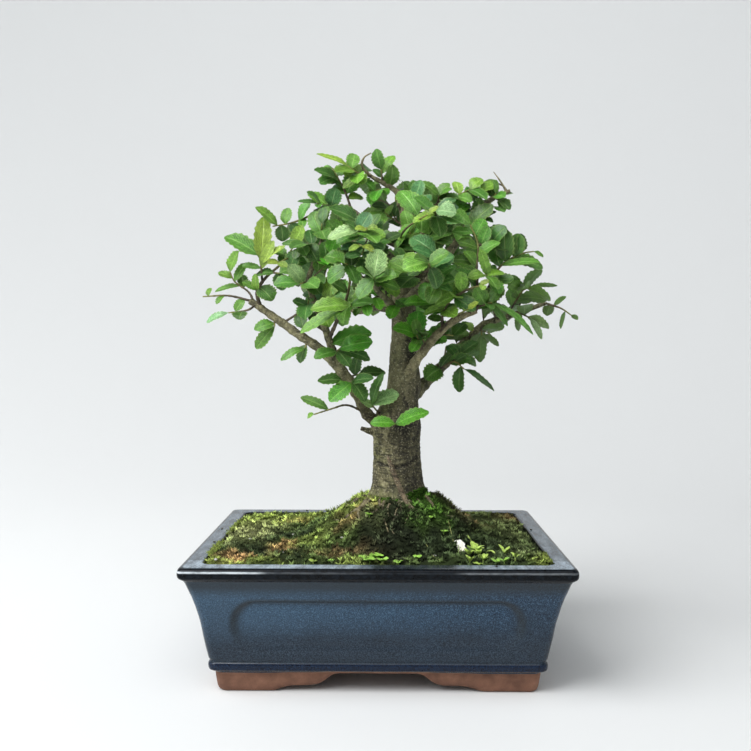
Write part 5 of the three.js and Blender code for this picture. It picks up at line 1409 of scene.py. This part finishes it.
    "back_high_left": ("d", twig([[-17, 35, 229.5], [-20, 44, 241], [-26, 50, 250]],
            more=6, long=16)),
    "back_high_right": ("d", twig([[42, 41, 232.5], [40, 48, 245], [34, 52, 253]],
            more=6, long=16)),
}
print("sprays:", len(SPRAYS), " twigs:", sum(len(one) - 1 for one in SPRAYS.values()))

# %% [markdown]
# Two rounds place the leaves of the CAD model in its own order, the outline first. Then the canopy is
# filled: the real tree has more than twice as many leaves as the frame's model, which stays coarse
# so that it can be handled. Some fillers join the sprays' own twigs, and the others sit on short
# side shoots, which leave the branches a golden angle apart, as buds do. Fillers may stand closer
# together, but none may show outside the canopy's dense part as it is seen from the front.

# %% Growing the leaves
FILL_WOOD_GAP, FILL_LEAF_GAP, FILL_TRIALS = 0.6, 0.95, 16
FILL_PER_TWIG, SHOOT_GAP, GOLDEN_ANGLE = 4, 7.8, 2.39996
# The dense part's outline as x, z in the trunk's plane.
DENSE_PART = np.array([
    [-36, 285], [-20, 281], [-4, 288], [9, 280], [36, 276], [53, 273], [66, 272], [76, 264], [73, 250],
    [80, 242], [88, 229], [88, 212], [84, 202], [76, 191], [66, 182], [54, 172], [42, 167],
    [33, 168], [27, 171], [23, 177], [12, 189], [2, 198], [-17, 192], [-28, 186], [-37, 195],
    [-46, 201], [-55, 218], [-64, 227], [-52, 242], [-46, 256], [-40, 271]])
# Gaps that the sky shows through: x, z and radius, in the same plane.
SKY_GAPS = np.array([
    [24, 222, 2.9], [17, 223, 2.5], [19, 211, 2.5], [-16, 219, 4.7], [-19, 227, 1.8],
    [-3, 286, 3.5], [70, 252, 5.3], [-50, 247, 2.9], [-45, 240, 2.3], [-48, 206, 4.7],
    [-46, 196, 3.5], [-9, 267, 2.3], [-16, 271, 2.3], [6, 264, 2.3], [23, 257, 1.8], [8, 248, 1.8],
    [36, 177, 3.5], [-57, 224, 4.1], [55, 246, 2.3], [65, 195, 2.3], [55, 202, 2.3], [42, 195, 2.3],
    [69, 184, 2.9], [37, 236, 1.8], [61, 226, 2.3], [-41, 216, 1.8], [-30, 222, 2.3],
    [44, 184, 1.8]])
# Leaves put in one by one where the picture has one: foot x, z, tip x, z, width and tone.
HAND_LEAVES = [
    [75, 228, 73, 248, 9.5, "d"], [79, 230, 81, 245, 9, "d"], [80, 218, 95, 224, 8, "d"],
    [75, 208, 78, 221, 9, "m"], [82, 208, 98, 206, 8, "m"], [73, 224, 94, 228, 6, "m"],
    [-20, 157, -36, 159, 8, "m"], [-4, 153, 3, 164, 7, "d"], [-24, 176, -17, 168, 7, "d"],
    [-45, 252, -40, 263, 7, "m"], [5, 272, 8, 285, 8, "m"], [53, 257, 59, 266, 6, "b"],
    [-68, 224, -61, 241, 6, "y"], [-79, 209, -84, 200, 5, "m"], [-71, 212, -72, 222, 5, "b"],
    [-25, 181, -4, 187, 11.5, "v"]]


def seen_flat(points):
    """x and z where the line of sight to each point cuts the trunk's plane."""
    away = (points[:, 1] - EYE_LINE[1]) / -EYE_LINE[1]
    return (EYE_LINE[[0, 2]] + (points[:, [0, 2]] - EYE_LINE[[0, 2]]) / away[:, None]).T


def in_dense_part(points):
    """True where a point, seen from the front, is inside the outline: a line to the left crosses an
    odd number of its edges."""
    x, z = seen_flat(points)[..., None]
    one, other = DENSE_PART, np.roll(DENSE_PART, -1, axis=0)
    spans = (one[:, 1] > z) != (other[:, 1] > z)
    slope = (other[:, 0] - one[:, 0]) / (other[:, 1] - one[:, 1] + 1e-9)
    return (spans & (one[:, 0] + (z - one[:, 1]) * slope < x)).sum(1) % 2 == 1


def in_sky_gap(points):
    """True where a point, seen from the front, is in one of the gaps."""
    x, z = seen_flat(points)[..., None]
    return np.hypot(x - SKY_GAPS[:, 0], z - SKY_GAPS[:, 1]) < SKY_GAPS[:, 2]


# The points of the bare tan branch at the right, and of the end of the dark one below it.
TAN_RIGHT, DARK_RIGHT, END_POINTS = 4, 5, 44
BARE_WOOD = np.vstack([Course(BRANCHES[TAN_RIGHT]["via"]).points,
                       Course(BRANCHES[DARK_RIGHT]["via"]).points[-END_POINTS:]])


def hides_branch(points):
    """True where a point stands in front of the bare wood, and within 5 mm of it in x and z."""
    gap = points[:, None] - BARE_WOOD[None]
    return ((np.hypot(gap[..., 0], gap[..., 2]) < 5) & (gap[..., 1] < 2)).any(1)


TWIGS = [(spray, name, tone, t, one) for spray, (name, (tone, *twigs)) in enumerate(SPRAYS.items())
         for t, one in enumerate(twigs)]
canopy = Canopy([(line_samples(one["via"], one["radius"], TWIG_END), spray)
                 for spray, _, _, _, one in TWIGS])
grown = {name: [] for name in SPRAYS}


def first_clear(leaves, owner, wood_gap, leaf_gap):
    """The first of the leaves that is clear, kept in the canopy, as a list of one, or no leaf."""
    for leaf in leaves:
        if canopy.clear(leaf, owner, wood_gap, leaf_gap):
            canopy.add(leaf)
            return [leaf]
    return []


for outline in (True, False):
    for spray, name, tone, t, one in TWIGS:
        for k, bud in enumerate(buds_on(one)):
            seed = 100 * spray + 20 * t + k + 1
            if outline and bud["look"]:
                tried = (own_leaf(bud, bud["look"], seed, trial) for trial in range(24))
            elif not outline and not bud["look"]:
                tried = (rule_leaf(bud, one["long"], tone, seed, trial) for trial in range(20))
            else:
                continue
            grown[name] += first_clear(tried, spray, WOOD_CLEARANCE, LEAF_CLEARANCE)
modelled = len(canopy.lengths)
print("leaves of the CAD model:", modelled)

# %% Filling the canopy
carriers = np.vstack([canopy.wood, canopy.twigs])[:, :3]
carriers_seen = seen_flat(carriers).T


def wood_at(x, z):
    """The point of the wood or of a twig that is seen nearest to x, z."""
    return carriers[np.argmin(np.linalg.norm(carriers_seen - [x, z], axis=1))]


def fills_canopy(leaf):
    """True where a leaf's middle and tip are in the dense part and hide no bare wood, and no point
    of it closes a gap."""
    tip = blade_points(leaf, np.array([0.6, 1.0]), np.zeros(2))
    return (in_dense_part(tip).all() and not hides_branch(tip).any()
            and not in_sky_gap(blade_samples(leaf)).any())


def fill_leaf(course, s, long, tone, seed, owner):
    """The first filler leaf of those tried at that place that fills the canopy and is clear. Each
    is a little smaller than the one before."""
    bud, size = bud_at(course, s), 0.62 + 0.5 * chance(seed, 9)
    tried = (rule_leaf(bud, long * (size * (1 - 0.022 * trial)), tone, seed, trial)
             for trial in range(FILL_TRIALS))
    return first_clear(filter(fills_canopy, tried), owner, FILL_WOOD_GAP, FILL_LEAF_GAP)


def shoots_on(course, start, number):
    """Side shoots from a place on a course to its end, each with a twig line and its leaves."""
    made = []
    for k, s in enumerate(np.arange(start, course.length - 1, SHOOT_GAP)):
        seed = 9000 + 60 * number + k
        foot, way = course.at(s), course.way(s)
        normal = unit(np.cross(way, [0.2, 0.1, 1.0]))
        turn = GOLDEN_ANGLE * k + number
        out = math.cos(turn) * normal + math.sin(turn) * np.cross(way, normal)
        out = unit(out + 0.45 * way + np.array([0, 0, 0.35]))
        long = 8 + 9 * chance(seed, 2)
        bend = np.array([0, 0, 1.6 * (chance(seed, 3) - 0.3)])
        via = np.array([foot, foot + out * long * 0.5 + bend, foot + out * long])
        shoot, leaves = Course(via), []
        tone = "dmbmsvmd"[int(8 * chance(seed, 4))]
        for j, share in enumerate((1.0, 0.82, 0.62, 0.42, 0.22)):
            leaves += fill_leaf(shoot, shoot.length * share, 16.5, tone, seed + 0.1 * j, -1)
        if len(leaves) > 1:
            made.append((via, leaves))
    return made


hand_leaves = []
for number, (foot_x, foot_z, tip_x, tip_z, width, tone) in enumerate(HAND_LEAVES):
    foot = wood_at(foot_x, foot_z)
    tip = placed([tip_x, foot[1] - 3, tip_z])
    hand_leaves.append(make_leaf(foot, tip, facing(foot[1], 700 + number, 1), width, tone))
    canopy.add(hand_leaves[-1])
for spray, name, tone, t, one in TWIGS:
    course = Course(one["via"])
    wanted = max(2, round(min(FILL_PER_TWIG, course.length / 5)))
    for k in range(wanted):
        seed = 5000 + 100 * spray + 20 * t + k
        s = course.length * (0.25 + 0.75 * (k + chance(seed, 1)) / wanted)
        grown[name] += fill_leaf(course, s, 13, tone, seed, spray)
print("leaves by hand:", len(hand_leaves), " added on the twigs:",
      len(canopy.lengths) - modelled - len(hand_leaves))

# %% Side shoots and bare twigs
LEADER = {"via": TRUNK[-6:, [1, 3, 0]] * [1, 0, 1], "radii": [4.3, 2.2]}
shoot_groups = {"left": [], "right": [], "front": [], "back": []}
for number, one in enumerate(BRANCHES + [LEADER]):
    course = Course(one["via"])
    x, y, _ = course.points[-1]
    side = "front" if y < -30 else "back" if y > 35 else "left" if x < 0 else "right"
    shoot_groups[side] += shoots_on(course, 0.3 * course.length, number)
# Twigs that show in front of the leaves, as x, z in the trunk's plane, and the depth of the end.
BARE_TWIGS = [[[-15, 260], [-10, 255], [-7, 247], -60], [[-20, 244], [-15, 241], [-10, 238], -62],
              [[9, 237], [16, 248], [30, 257], -62], [[32, 189], [43, 196], [52, 201], -42],
              [[44, 212], [53, 213], [61, 215], -50], [[-40, 236], [-46, 234], [-59, 228], -36]]
for number, (first, middle, last, depth) in enumerate(BARE_TWIGS):
    start = wood_at(*first)
    via = np.array([start, placed([middle[0], (start[1] + depth) / 2, middle[1]]),
                    placed([last[0], depth, last[1]])])
    shoot = Course(via)
    tip_leaves = [rule_leaf(bud_at(shoot, s), 7, "y", 800 + number, k)
                  for k, s in enumerate((shoot.length, shoot.length - 3))]
    shoot_groups["front"].append((via, tip_leaves))
print("shoots:", {side: len(shoots) for side, shoots in shoot_groups.items()})

# %% [markdown]
# ## Leaves: the blade
# An elm leaf is a small blunt oval with a toothed edge, a sunken midrib and side veins that run to
# the teeth. The blade here is fourteen rows from foot to tip, and every second row stands out a
# little, which makes the teeth. Each row has its two edges and the midrib on top, and the rib
# underneath closes it, so every leaf is a closed thin lens of a few dozen faces. Its edges are marked
# sharp, so the top stays crisp. Veins and the paler rib are drawn by the finish, which reads how far
# along and across the blade a point is.

# %% Leaf blades
BLADE_ROWS = 14
BLADE_U = np.linspace(0.04, 0.97, BLADE_ROWS)
BLADE_SHAPE = np.array([[0, 0.08], [0.04, 0.2], [0.1, 0.46], [0.2, 0.78], [0.32, 0.95], [0.45, 1.0],
                        [0.6, 0.99], [0.72, 0.91], [0.82, 0.77], [0.9, 0.57], [0.96, 0.32], [1, 0.1]])
BLADE_WIDTH = np.interp(BLADE_U, *BLADE_SHAPE.T)
TEETH = np.where(np.arange(BLADE_ROWS) % 2 == 1, 0.1, -0.08) * smoothstep(0.1, 0.2, BLADE_U)
RIB_DEPTH = 0.3 * np.sin(np.pi * np.clip(BLADE_U * 1.06, 0, 1)) + 0.12
# Partly painted light: d is partly painted shade, b and y partly light shining through, p and s partly
# a painted sheen.
TONES = {"b": (128, 184, 66), "y": (166, 204, 82), "v": (92, 174, 46), "m": (94, 154, 56),
         "d": (72, 124, 48), "p": (148, 194, 126), "s": (88, 146, 84)}
FULLNESS = 1.12
ACROSS = np.array([1.0, 0.0, -1.0])
# What every blade carries: where each point is along and across it, the edge, and the underside.
BLADE_UV = np.vstack([np.column_stack([np.repeat(BLADE_U, 4), np.tile([1, 0.5, 0, 0.5], BLADE_ROWS)]),
                      [0, 0.5], [1, 0.5]])
BLADE_RIM = np.append(np.tile([1, 0, 1, 0], BLADE_ROWS), [1, 1])
BLADE_UNDER = np.append(np.tile([0, 0, 0, 1], BLADE_ROWS), [0.5, 0])


def blade_part(leaf, number):
    """Rows of three points on top, edge, rib and edge, and one under the rib, and a pole at each end.
    The lift is the fold and the arch of the CAD leaf, a slow wave along the edge, and a bend and a
    twist that are different for each leaf."""
    length, half = leaf["length"], leaf["half"]
    phase = 6.28 * chance(number, 3)
    bend = 0.05 * (chance(number, 4) - 0.3) * length
    twist = 0.5 * (chance(number, 5) - 0.5)
    u = np.repeat(BLADE_U[:, None], 3, 1)
    v = ACROSS[None] * (FULLNESS * half * BLADE_WIDTH * (1 + TEETH))[:, None]
    wave = 0.09 * half * np.sin(phase + 9 * u) * ACROSS[None] ** 2
    lift = (LEAF_FOLD * np.abs(v) + LEAF_ARCH * length * u * (1 - u) + wave
            + twist * v * u - bend * u ** 2 * 4 * (1 - u))
    top_rows = (leaf["foot"] + (u * length)[..., None] * leaf["along"] + v[..., None] * leaf["side"]
                + lift[..., None] * leaf["up"])
    rib = top_rows[:, 1] - RIB_DEPTH[:, None] * leaf["up"]
    ends = [leaf["foot"] - 0.5 * leaf["along"], leaf["foot"] + length * leaf["along"]]
    part = closed_skin(np.concatenate([top_rows, rib[:, None]], 1), ends)
    tone = linear(TONES[leaf["tone"]]) * (1.3 + leaf["spread"] * (chance(number, 6) - 0.55))
    tone = tone * [0.9 + 0.3 * chance(number, 7), 1, 0.8 + 0.4 * chance(number, 8)]
    return {**part, "uv": BLADE_UV, "rim": BLADE_RIM, "values": {"under": BLADE_UNDER},
            "colours": {"tone": tone}}


def leaf_finish():
    paint = Finish("elm_leaf", 0.45, Specular_IOR_Level=0.45)
    uv = paint.node("UVMap", {}, "UV", uv_map="UVMap")
    along, across = (paint.node("SeparateXYZ", {0: uv}, letter) for letter in "XY")
    off_rib = (across - 0.5).maths("ABSOLUTE") * 2.0
    slant = along * 7.0 - off_rib * 2.0
    vein_wave = (slant * 6.2832).maths("SINE").maths("ABSOLUTE")
    veins = vein_wave.levels(0.05, 0.4, 1, 0)
    marks = off_rib.levels(0.02, 0.09, 1, 0).maths("MAXIMUM", veins * 0.6)
    quilt = vein_wave.levels(0.45, 1.0) * off_rib.levels(0.1, 0.3)
    blotch = paint.grain(3.0, detail=4)
    mottle = paint.grain(0.9, detail=2, rough=0.6)
    tone = paint.carried("tone", "Color")
    for amount, over in ((blotch.levels(0.35, 0.68, 0, 0.32), (58, 84, 30)),
                         (along.levels(0.35, 0.0, 0, 0.35), (60, 92, 40)),
                         (quilt * 0.5, (104, 126, 80))):
        tone = tone.coat(amount, over, "MULTIPLY")
    pale = tone.coat(0.4, (190, 206, 136))
    tone = tone.coat(mottle.levels(0.62, 0.36, 0, 0.55), (104, 122, 84), "MULTIPLY")
    colour = tone.coat(marks * 0.62, pale)
    colour = colour.coat(off_rib.levels(0.8, 1.0, 0, 0.3), (176, 196, 110))
    underside = colour.coat(0.24, (160, 186, 118))
    colour = colour.coat(paint.carried("under").levels(0.05, 0.3), underside)
    return paint.dress(colour, marks * -1.0 + blotch * 0.5, depth_mm=0.3, strength=0.8,
                       Roughness=blotch.levels(0.3, 0.7, 0.3, 0.5))


def twig_finish():
    paint = Finish("young_twig", 0.7)
    streaks = paint.grain(2.2, detail=4)
    woody = streaks.ramp((0.3, (46, 40, 30)), (0.55, (80, 70, 52)), (0.8, (128, 113, 86)))
    fresh = streaks.ramp((0.3, (96, 100, 44)), (0.7, (142, 142, 74)))
    return paint.dress(woody.coat(paint.carried("fresh"), fresh), streaks, depth_mm=0.15,
                       strength=0.5)


leaf_look, twig_look = leaf_finish(), twig_finish()
print("points of a blade:", len(BLADE_UV), " tones:", len(TONES))

# %% Foliage
TWIG_SIDES, TWIG_TIP = 7, 0.36
SHOOT_RADIUS, STOUT_RADIUS, SMALL_LEAF = 0.62, 1.05, 9


def twig_part(via, thick):
    """A thin tube with a knuckle at each leaf: its radius falls from 0.74 thick to 0.36 mm."""
    course, foot = Course(via), 0.74 * thick

    def radius(s, angle):
        plain = foot + (TWIG_TIP - foot) * s / course.length
        return plain * (1 + 0.25 * np.cos(2 * np.pi * s / 3.6) ** 8 + 0.05 * np.sin(3 * angle + s))

    part, s = tube(course, radius, TWIG_SIDES, int(course.length / 1.2) + 3)
    share = np.append(np.repeat(s / course.length, TWIG_SIDES), [0, 1])
    return {**part, "values": {"fresh": smoothstep(0.35, 1, share)}, "finish": 1}


leaf_numbers = itertools.count(1)


def blade_parts(leaves):
    return [blade_part(leaf, next(leaf_numbers)) for leaf in leaves]


leaf_triangles = 0
for name, (_, *twigs) in SPRAYS.items():
    parts = [twig_part(one["via"], one["radius"]) for one in twigs] + blade_parts(grown[name])
    _, triangles = make_piece("foliage_" + name, parts, [leaf_look, twig_look],
                              ["spray_" + name])
    leaf_triangles += triangles
for side, shoots in shoot_groups.items():
    by_hand = hand_leaves if side == "front" else []
    parts = [blade_part(leaf, 3000 + k) for k, leaf in enumerate(by_hand)]
    for via, leaves in shoots:
        # A shoot with no more than two small leaves is a stout bare one.
        stout = len(leaves) == 2 and leaves[0]["length"] < SMALL_LEAF
        parts += [twig_part(via, STOUT_RADIUS if stout else SHOOT_RADIUS)] + blade_parts(leaves)
    _, triangles = make_piece("shoots_" + side, parts, [leaf_look, twig_look])
    leaf_triangles += triangles
print("foliage triangles:", leaf_triangles)

# %% [markdown]
# ## Small plants in the moss
# Seedlings and bits of clover have come up in the moss, brighter than anything round them, and one
# pale petal has dropped. Each little plant is a thin stem with the tree's own kind of blade at its
# top, spread out flat for a seedling, nearly round for clover, or long and thin for a blade of grass.
# The three larger ones and the petal stand where the CAD model has them.

# %% Small plants
SMALL_TONES = {"lime": (214, 244, 118), "clover": (178, 232, 98), "straw": (176, 176, 104),
               "sedge": (132, 162, 76)}
# Each is x, y, leaves, their length and width, how much they rise, the stem's height, and its tone.
CLUMPS = {
    "weed_front": [
        (51, -50, 7, 5.6, 2.0, 0.9, 3.0, "lime"), (47.5, -60.5, 5, 3.8, 1.2, 1.5, 1.2, "lime"),
        (54.5, -60, 5, 4.0, 1.4, 1.3, 1.5, "lime"), (48, -54, 6, 3.9, 1.4, 1.1, 2.2, "lime"),
        (52.5, -55.5, 6, 3.6, 1.3, 1.4, 2.6, "lime"), (51.3, -63.2, 5, 3.0, 1.4, 0.7, 1, "lime")],
    "weed_middle": [
        (-1, -54, 4, 4.4, 3.2, 0.4, 2.6, "clover"), (-4, -62.5, 4, 3.4, 2.8, 0.5, 1.8, "clover"),
        (2.2, -61, 3, 3.6, 3.0, 0.5, 2.6, "clover"), (-7.5, -60, 3, 2.6, 2.0, 0.4, 1.6, "clover")],
    "weed_right": [
        (68, -44, 4, 5.6, 1.5, 1.1, 2.4, "lime"), (65, -62.5, 3, 4.2, 1.6, 0.9, 1.6, "clover"),
        (71.5, -57, 3, 4.0, 1.2, 0.9, 2.2, "lime")],
    "": [
        (10.5, -63, 3, 3.0, 2.2, 0.5, 2.0, "clover"), (20.4, -59.6, 3, 3.2, 2.2, 0.7, 2.2, "clover"),
        (-62, -60.5, 3, 2.6, 2.2, 0.4, 1.0, "lime"), (-5, -25, 3, 2.6, 2.0, 0.6, 1.2, "clover"),
        (66.9, 17.5, 3, 3.4, 1.0, 1.2, 3.4, "sedge"), (59, 44, 3, 2.2, 0.8, 0.4, 4.4, "sedge"),
        (70, 46, 3, 2.2, 0.8, 0.4, 4.0, "sedge"), (60.6, -64.3, 3, 3.2, 1.8, 0.8, 0.8, "clover"),
        (29, -25, 3, 2.4, 1.8, 0.6, 1.4, "clover"), (36, -30, 3, 2.2, 1.6, 0.6, 1.2, "clover"),
        (78, -52, 3, 3.2, 1.3, 1.0, 1.6, "sedge"), (83, -36, 3, 3.0, 1.2, 1.0, 1.6, "sedge"),
        (-24, -61, 3, 2.4, 2.0, 0.5, 1.0, "clover"), (-33, -63, 3, 2.4, 1.8, 0.5, 1.0, "lime")]
}
# How much longer and wider the leaves are made, and how much lower the stems.
LONGER, WIDER, LOWER = 1.05, 1.3, 0.75
# A runner across the moss, as x, y and its height over the moss, and fallen stalks, from x, y to x, y.
RUNNER = [[49.4, -26, 1.6], [53, -31, 2.4], [57.5, -37.5, 1.2], [60.5, -44.2, 1.8], [63, -47, 0.6]]
STALKS = [([25.4, -39.9], [32, -63.9], "straw"), ([39, -20], [41, -36], "straw"),
          ([45, -28], [43, -44], "sedge"), ([77, -22], [72, -33], "sedge")]


def small_stem(points, radius, sides, rings, tone, shade=1.0):
    """A tube whose radius is a rule of the distance along it, all in one tone."""
    part, _ = tube(Course(points), lambda s, angle: radius(s) + 0 * angle, sides, rings)
    return {**part, "uv": [0.5, 0.25], "colours": {"tone": linear(SMALL_TONES[tone]) * shade}}


def small_plant(x, y, leaves, long, wide, rise, tall, tone, number):
    """A stem of that height on the moss and leaves spread round its top."""
    ground = on_moss(x, y, 0)
    long, wide, tall = LONGER * long, WIDER * wide, LOWER * tall
    lean = np.array([0.4 * (chance(number, 1) - 0.5), 0.4 * (chance(number, 2) - 0.5), 1.0])
    base, top = ground - [0, 0, 1.5], ground + lean * tall
    middle = (base + top) / 2 + lean * [0.3, 0.3, 0]
    parts = [small_stem([base, middle, top], lambda s: 0.34 - 0.012 * s, 6, 7, tone, 0.8)]
    for k in range(leaves):
        turn = 2 * math.pi * (k + 0.6 * chance(number, k + 3)) / leaves
        way = unit([math.cos(turn), math.sin(turn), rise * (0.5 + 0.6 * chance(number, k + 0.3))])
        tip = top + way * long * (0.8 + 0.4 * chance(number, k + 0.6))
        leaf = make_leaf(top, tip, np.array([-way[0], -way[1], 1.2]), wide, "b")
        blade = blade_part(leaf, 900 + 10 * number + k)
        shade = 1.15 + 0.4 * chance(number, k + 0.9)
        parts.append({**blade, "colours": {"tone": linear(SMALL_TONES[tone]) * shade}})
    return parts


number = 0
for name, plants in CLUMPS.items():
    parts = []
    for plant in plants:
        number += 1
        parts += small_plant(*plant, number)
    if name:
        make_piece("seedlings_" + name[5:], parts, [leaf_look], [name])
parts.append(small_stem([on_moss(*one) for one in RUNNER], lambda s: 0.42 + 0.12 * np.sin(1.3 * s),
                        8, 44, "lime"))
for foot, end, tone in STALKS:
    middle = np.add(foot, end) / 2
    points = [on_moss(*foot, 0.6), on_moss(*middle, 1.6), on_moss(*end, 0.8)]
    parts.append(small_stem(points, lambda s: 0.2 + 0 * s, 6, 20, tone))
_, triangles = make_piece("seedlings_single", parts, [leaf_look])
print("small plants:", number, " triangles of the single ones:", triangles)

# %% Fallen petal and crumbs
PETAL_PLACE, PETAL_LENGTH, PETAL_HALF = (43.0, -40.5), 9.4, 3.9
# Where the pale grit lies on the moss and the dark crumbs on the lip.
PALE_CRUMBS = [(-50, -4), (-51, -46), (-83.5, -61.5), (-73, -18.5), (-65.6, 14.3), (30, -52),
               (-20, -30)]
RIM_FLECKS = [(-49.2, 71.5), (-95.4, 14.1), (91.9, 14.0), (-93, -20), (60, -71)]


def petal_part():
    """A cupped oval on edge in the moss: its half width is 3.9 sin(pi u^0.9)^0.4, with a crinkled
    edge, its face is curled and rippled, and it is up to 0.6 mm thick."""
    foot = on_moss(*PETAL_PLACE, -1.6)
    out_way = unit([-0.45, -0.85, 0.75])
    up_way = np.array([-0.1, 0.1, 1.0])
    up_way = unit(up_way - out_way * (up_way @ out_way))
    side_way = np.cross(out_way, up_way)
    u = np.linspace(0.03, 0.97, 22)[:, None]
    angle = np.linspace(0, 2 * np.pi, 32, endpoint=False)[None]
    half = PETAL_HALF * np.sin(np.pi * u ** 0.9) ** 0.4
    across = half * np.cos(angle) * (1 + 0.1 * np.sin(7 * u * np.pi) * np.sign(np.cos(angle)))
    thick = 0.32 * np.sin(angle) * np.sqrt(np.sin(np.pi * u))
    cup = -0.08 * across ** 2 + 1.5 * u ** 2 + 0.22 * np.sin(1.7 * across + 4 * u)
    grid = (foot + (u * PETAL_LENGTH)[..., None] * up_way + across[..., None] * side_way
            + (thick + cup)[..., None] * out_way)
    return {**closed_skin(grid), "values": {"tip": np.append(np.repeat(u.ravel(), 32), [0, 1])}}


def petal_finish():
    paint = Finish("pale_petal", 0.55)
    streaks = paint.grain(1.2, detail=3, stretch=(1, 1, 0.3))
    colour = paint.carried("tip").ramp((0.06, (196, 206, 110)), (0.3, (246, 244, 208)),
                                       (0.6, (255, 254, 246)))
    colour = colour.coat(streaks.levels(0.4, 0.7, 0, 0.25), (206, 196, 140))
    return paint.dress(colour, streaks, depth_mm=0.15, strength=0.4)


def crumb(place, size, number):
    """A pebble at a place: a flattened sphere whose radius noise changes."""
    polar = np.linspace(0.25, np.pi - 0.25, 7)[::-1][:, None]
    turn = np.linspace(0, 2 * np.pi, 10, endpoint=False)[None]
    grid = np.stack([np.sin(polar) * np.cos(turn), np.sin(polar) * np.sin(turn),
                     np.cos(polar) + 0 * turn], -1)
    grid = grid * size * (1 + 0.3 * noise(grid + number, 0.9, number))[..., None] * [1, 0.8, 0.6]
    return closed_skin(grid + place)


def crumb_finish(name, dark, light):
    paint = Finish(name, 0.85)
    fine = paint.grain(0.7, detail=3)
    return paint.dress(fine.ramp((0.35, dark), (0.65, light)), fine, depth_mm=0.1)


make_piece("petal_fallen", [petal_part()], [petal_finish()], ["fallen_petal"])
pale_grit = crumb_finish("pale_grit", (150, 148, 140), (226, 224, 220))
parts = [crumb(on_moss(x, y, 0.9), 0.95, k) for k, (x, y) in enumerate(PALE_CRUMBS)]
make_piece("grit_pale", parts, [pale_grit])
dark_crumbs = crumb_finish("dark_crumbs", (34, 32, 26), (78, 76, 62))
parts = [crumb([x, y, POT_HEIGHT + 0.25], 0.7, 20 + k) for k, (x, y) in enumerate(RIM_FLECKS)]
make_piece("rim_flecks", parts, [dark_crumbs])
print("grit and flecks:", len(PALE_CRUMBS) + len(RIM_FLECKS))
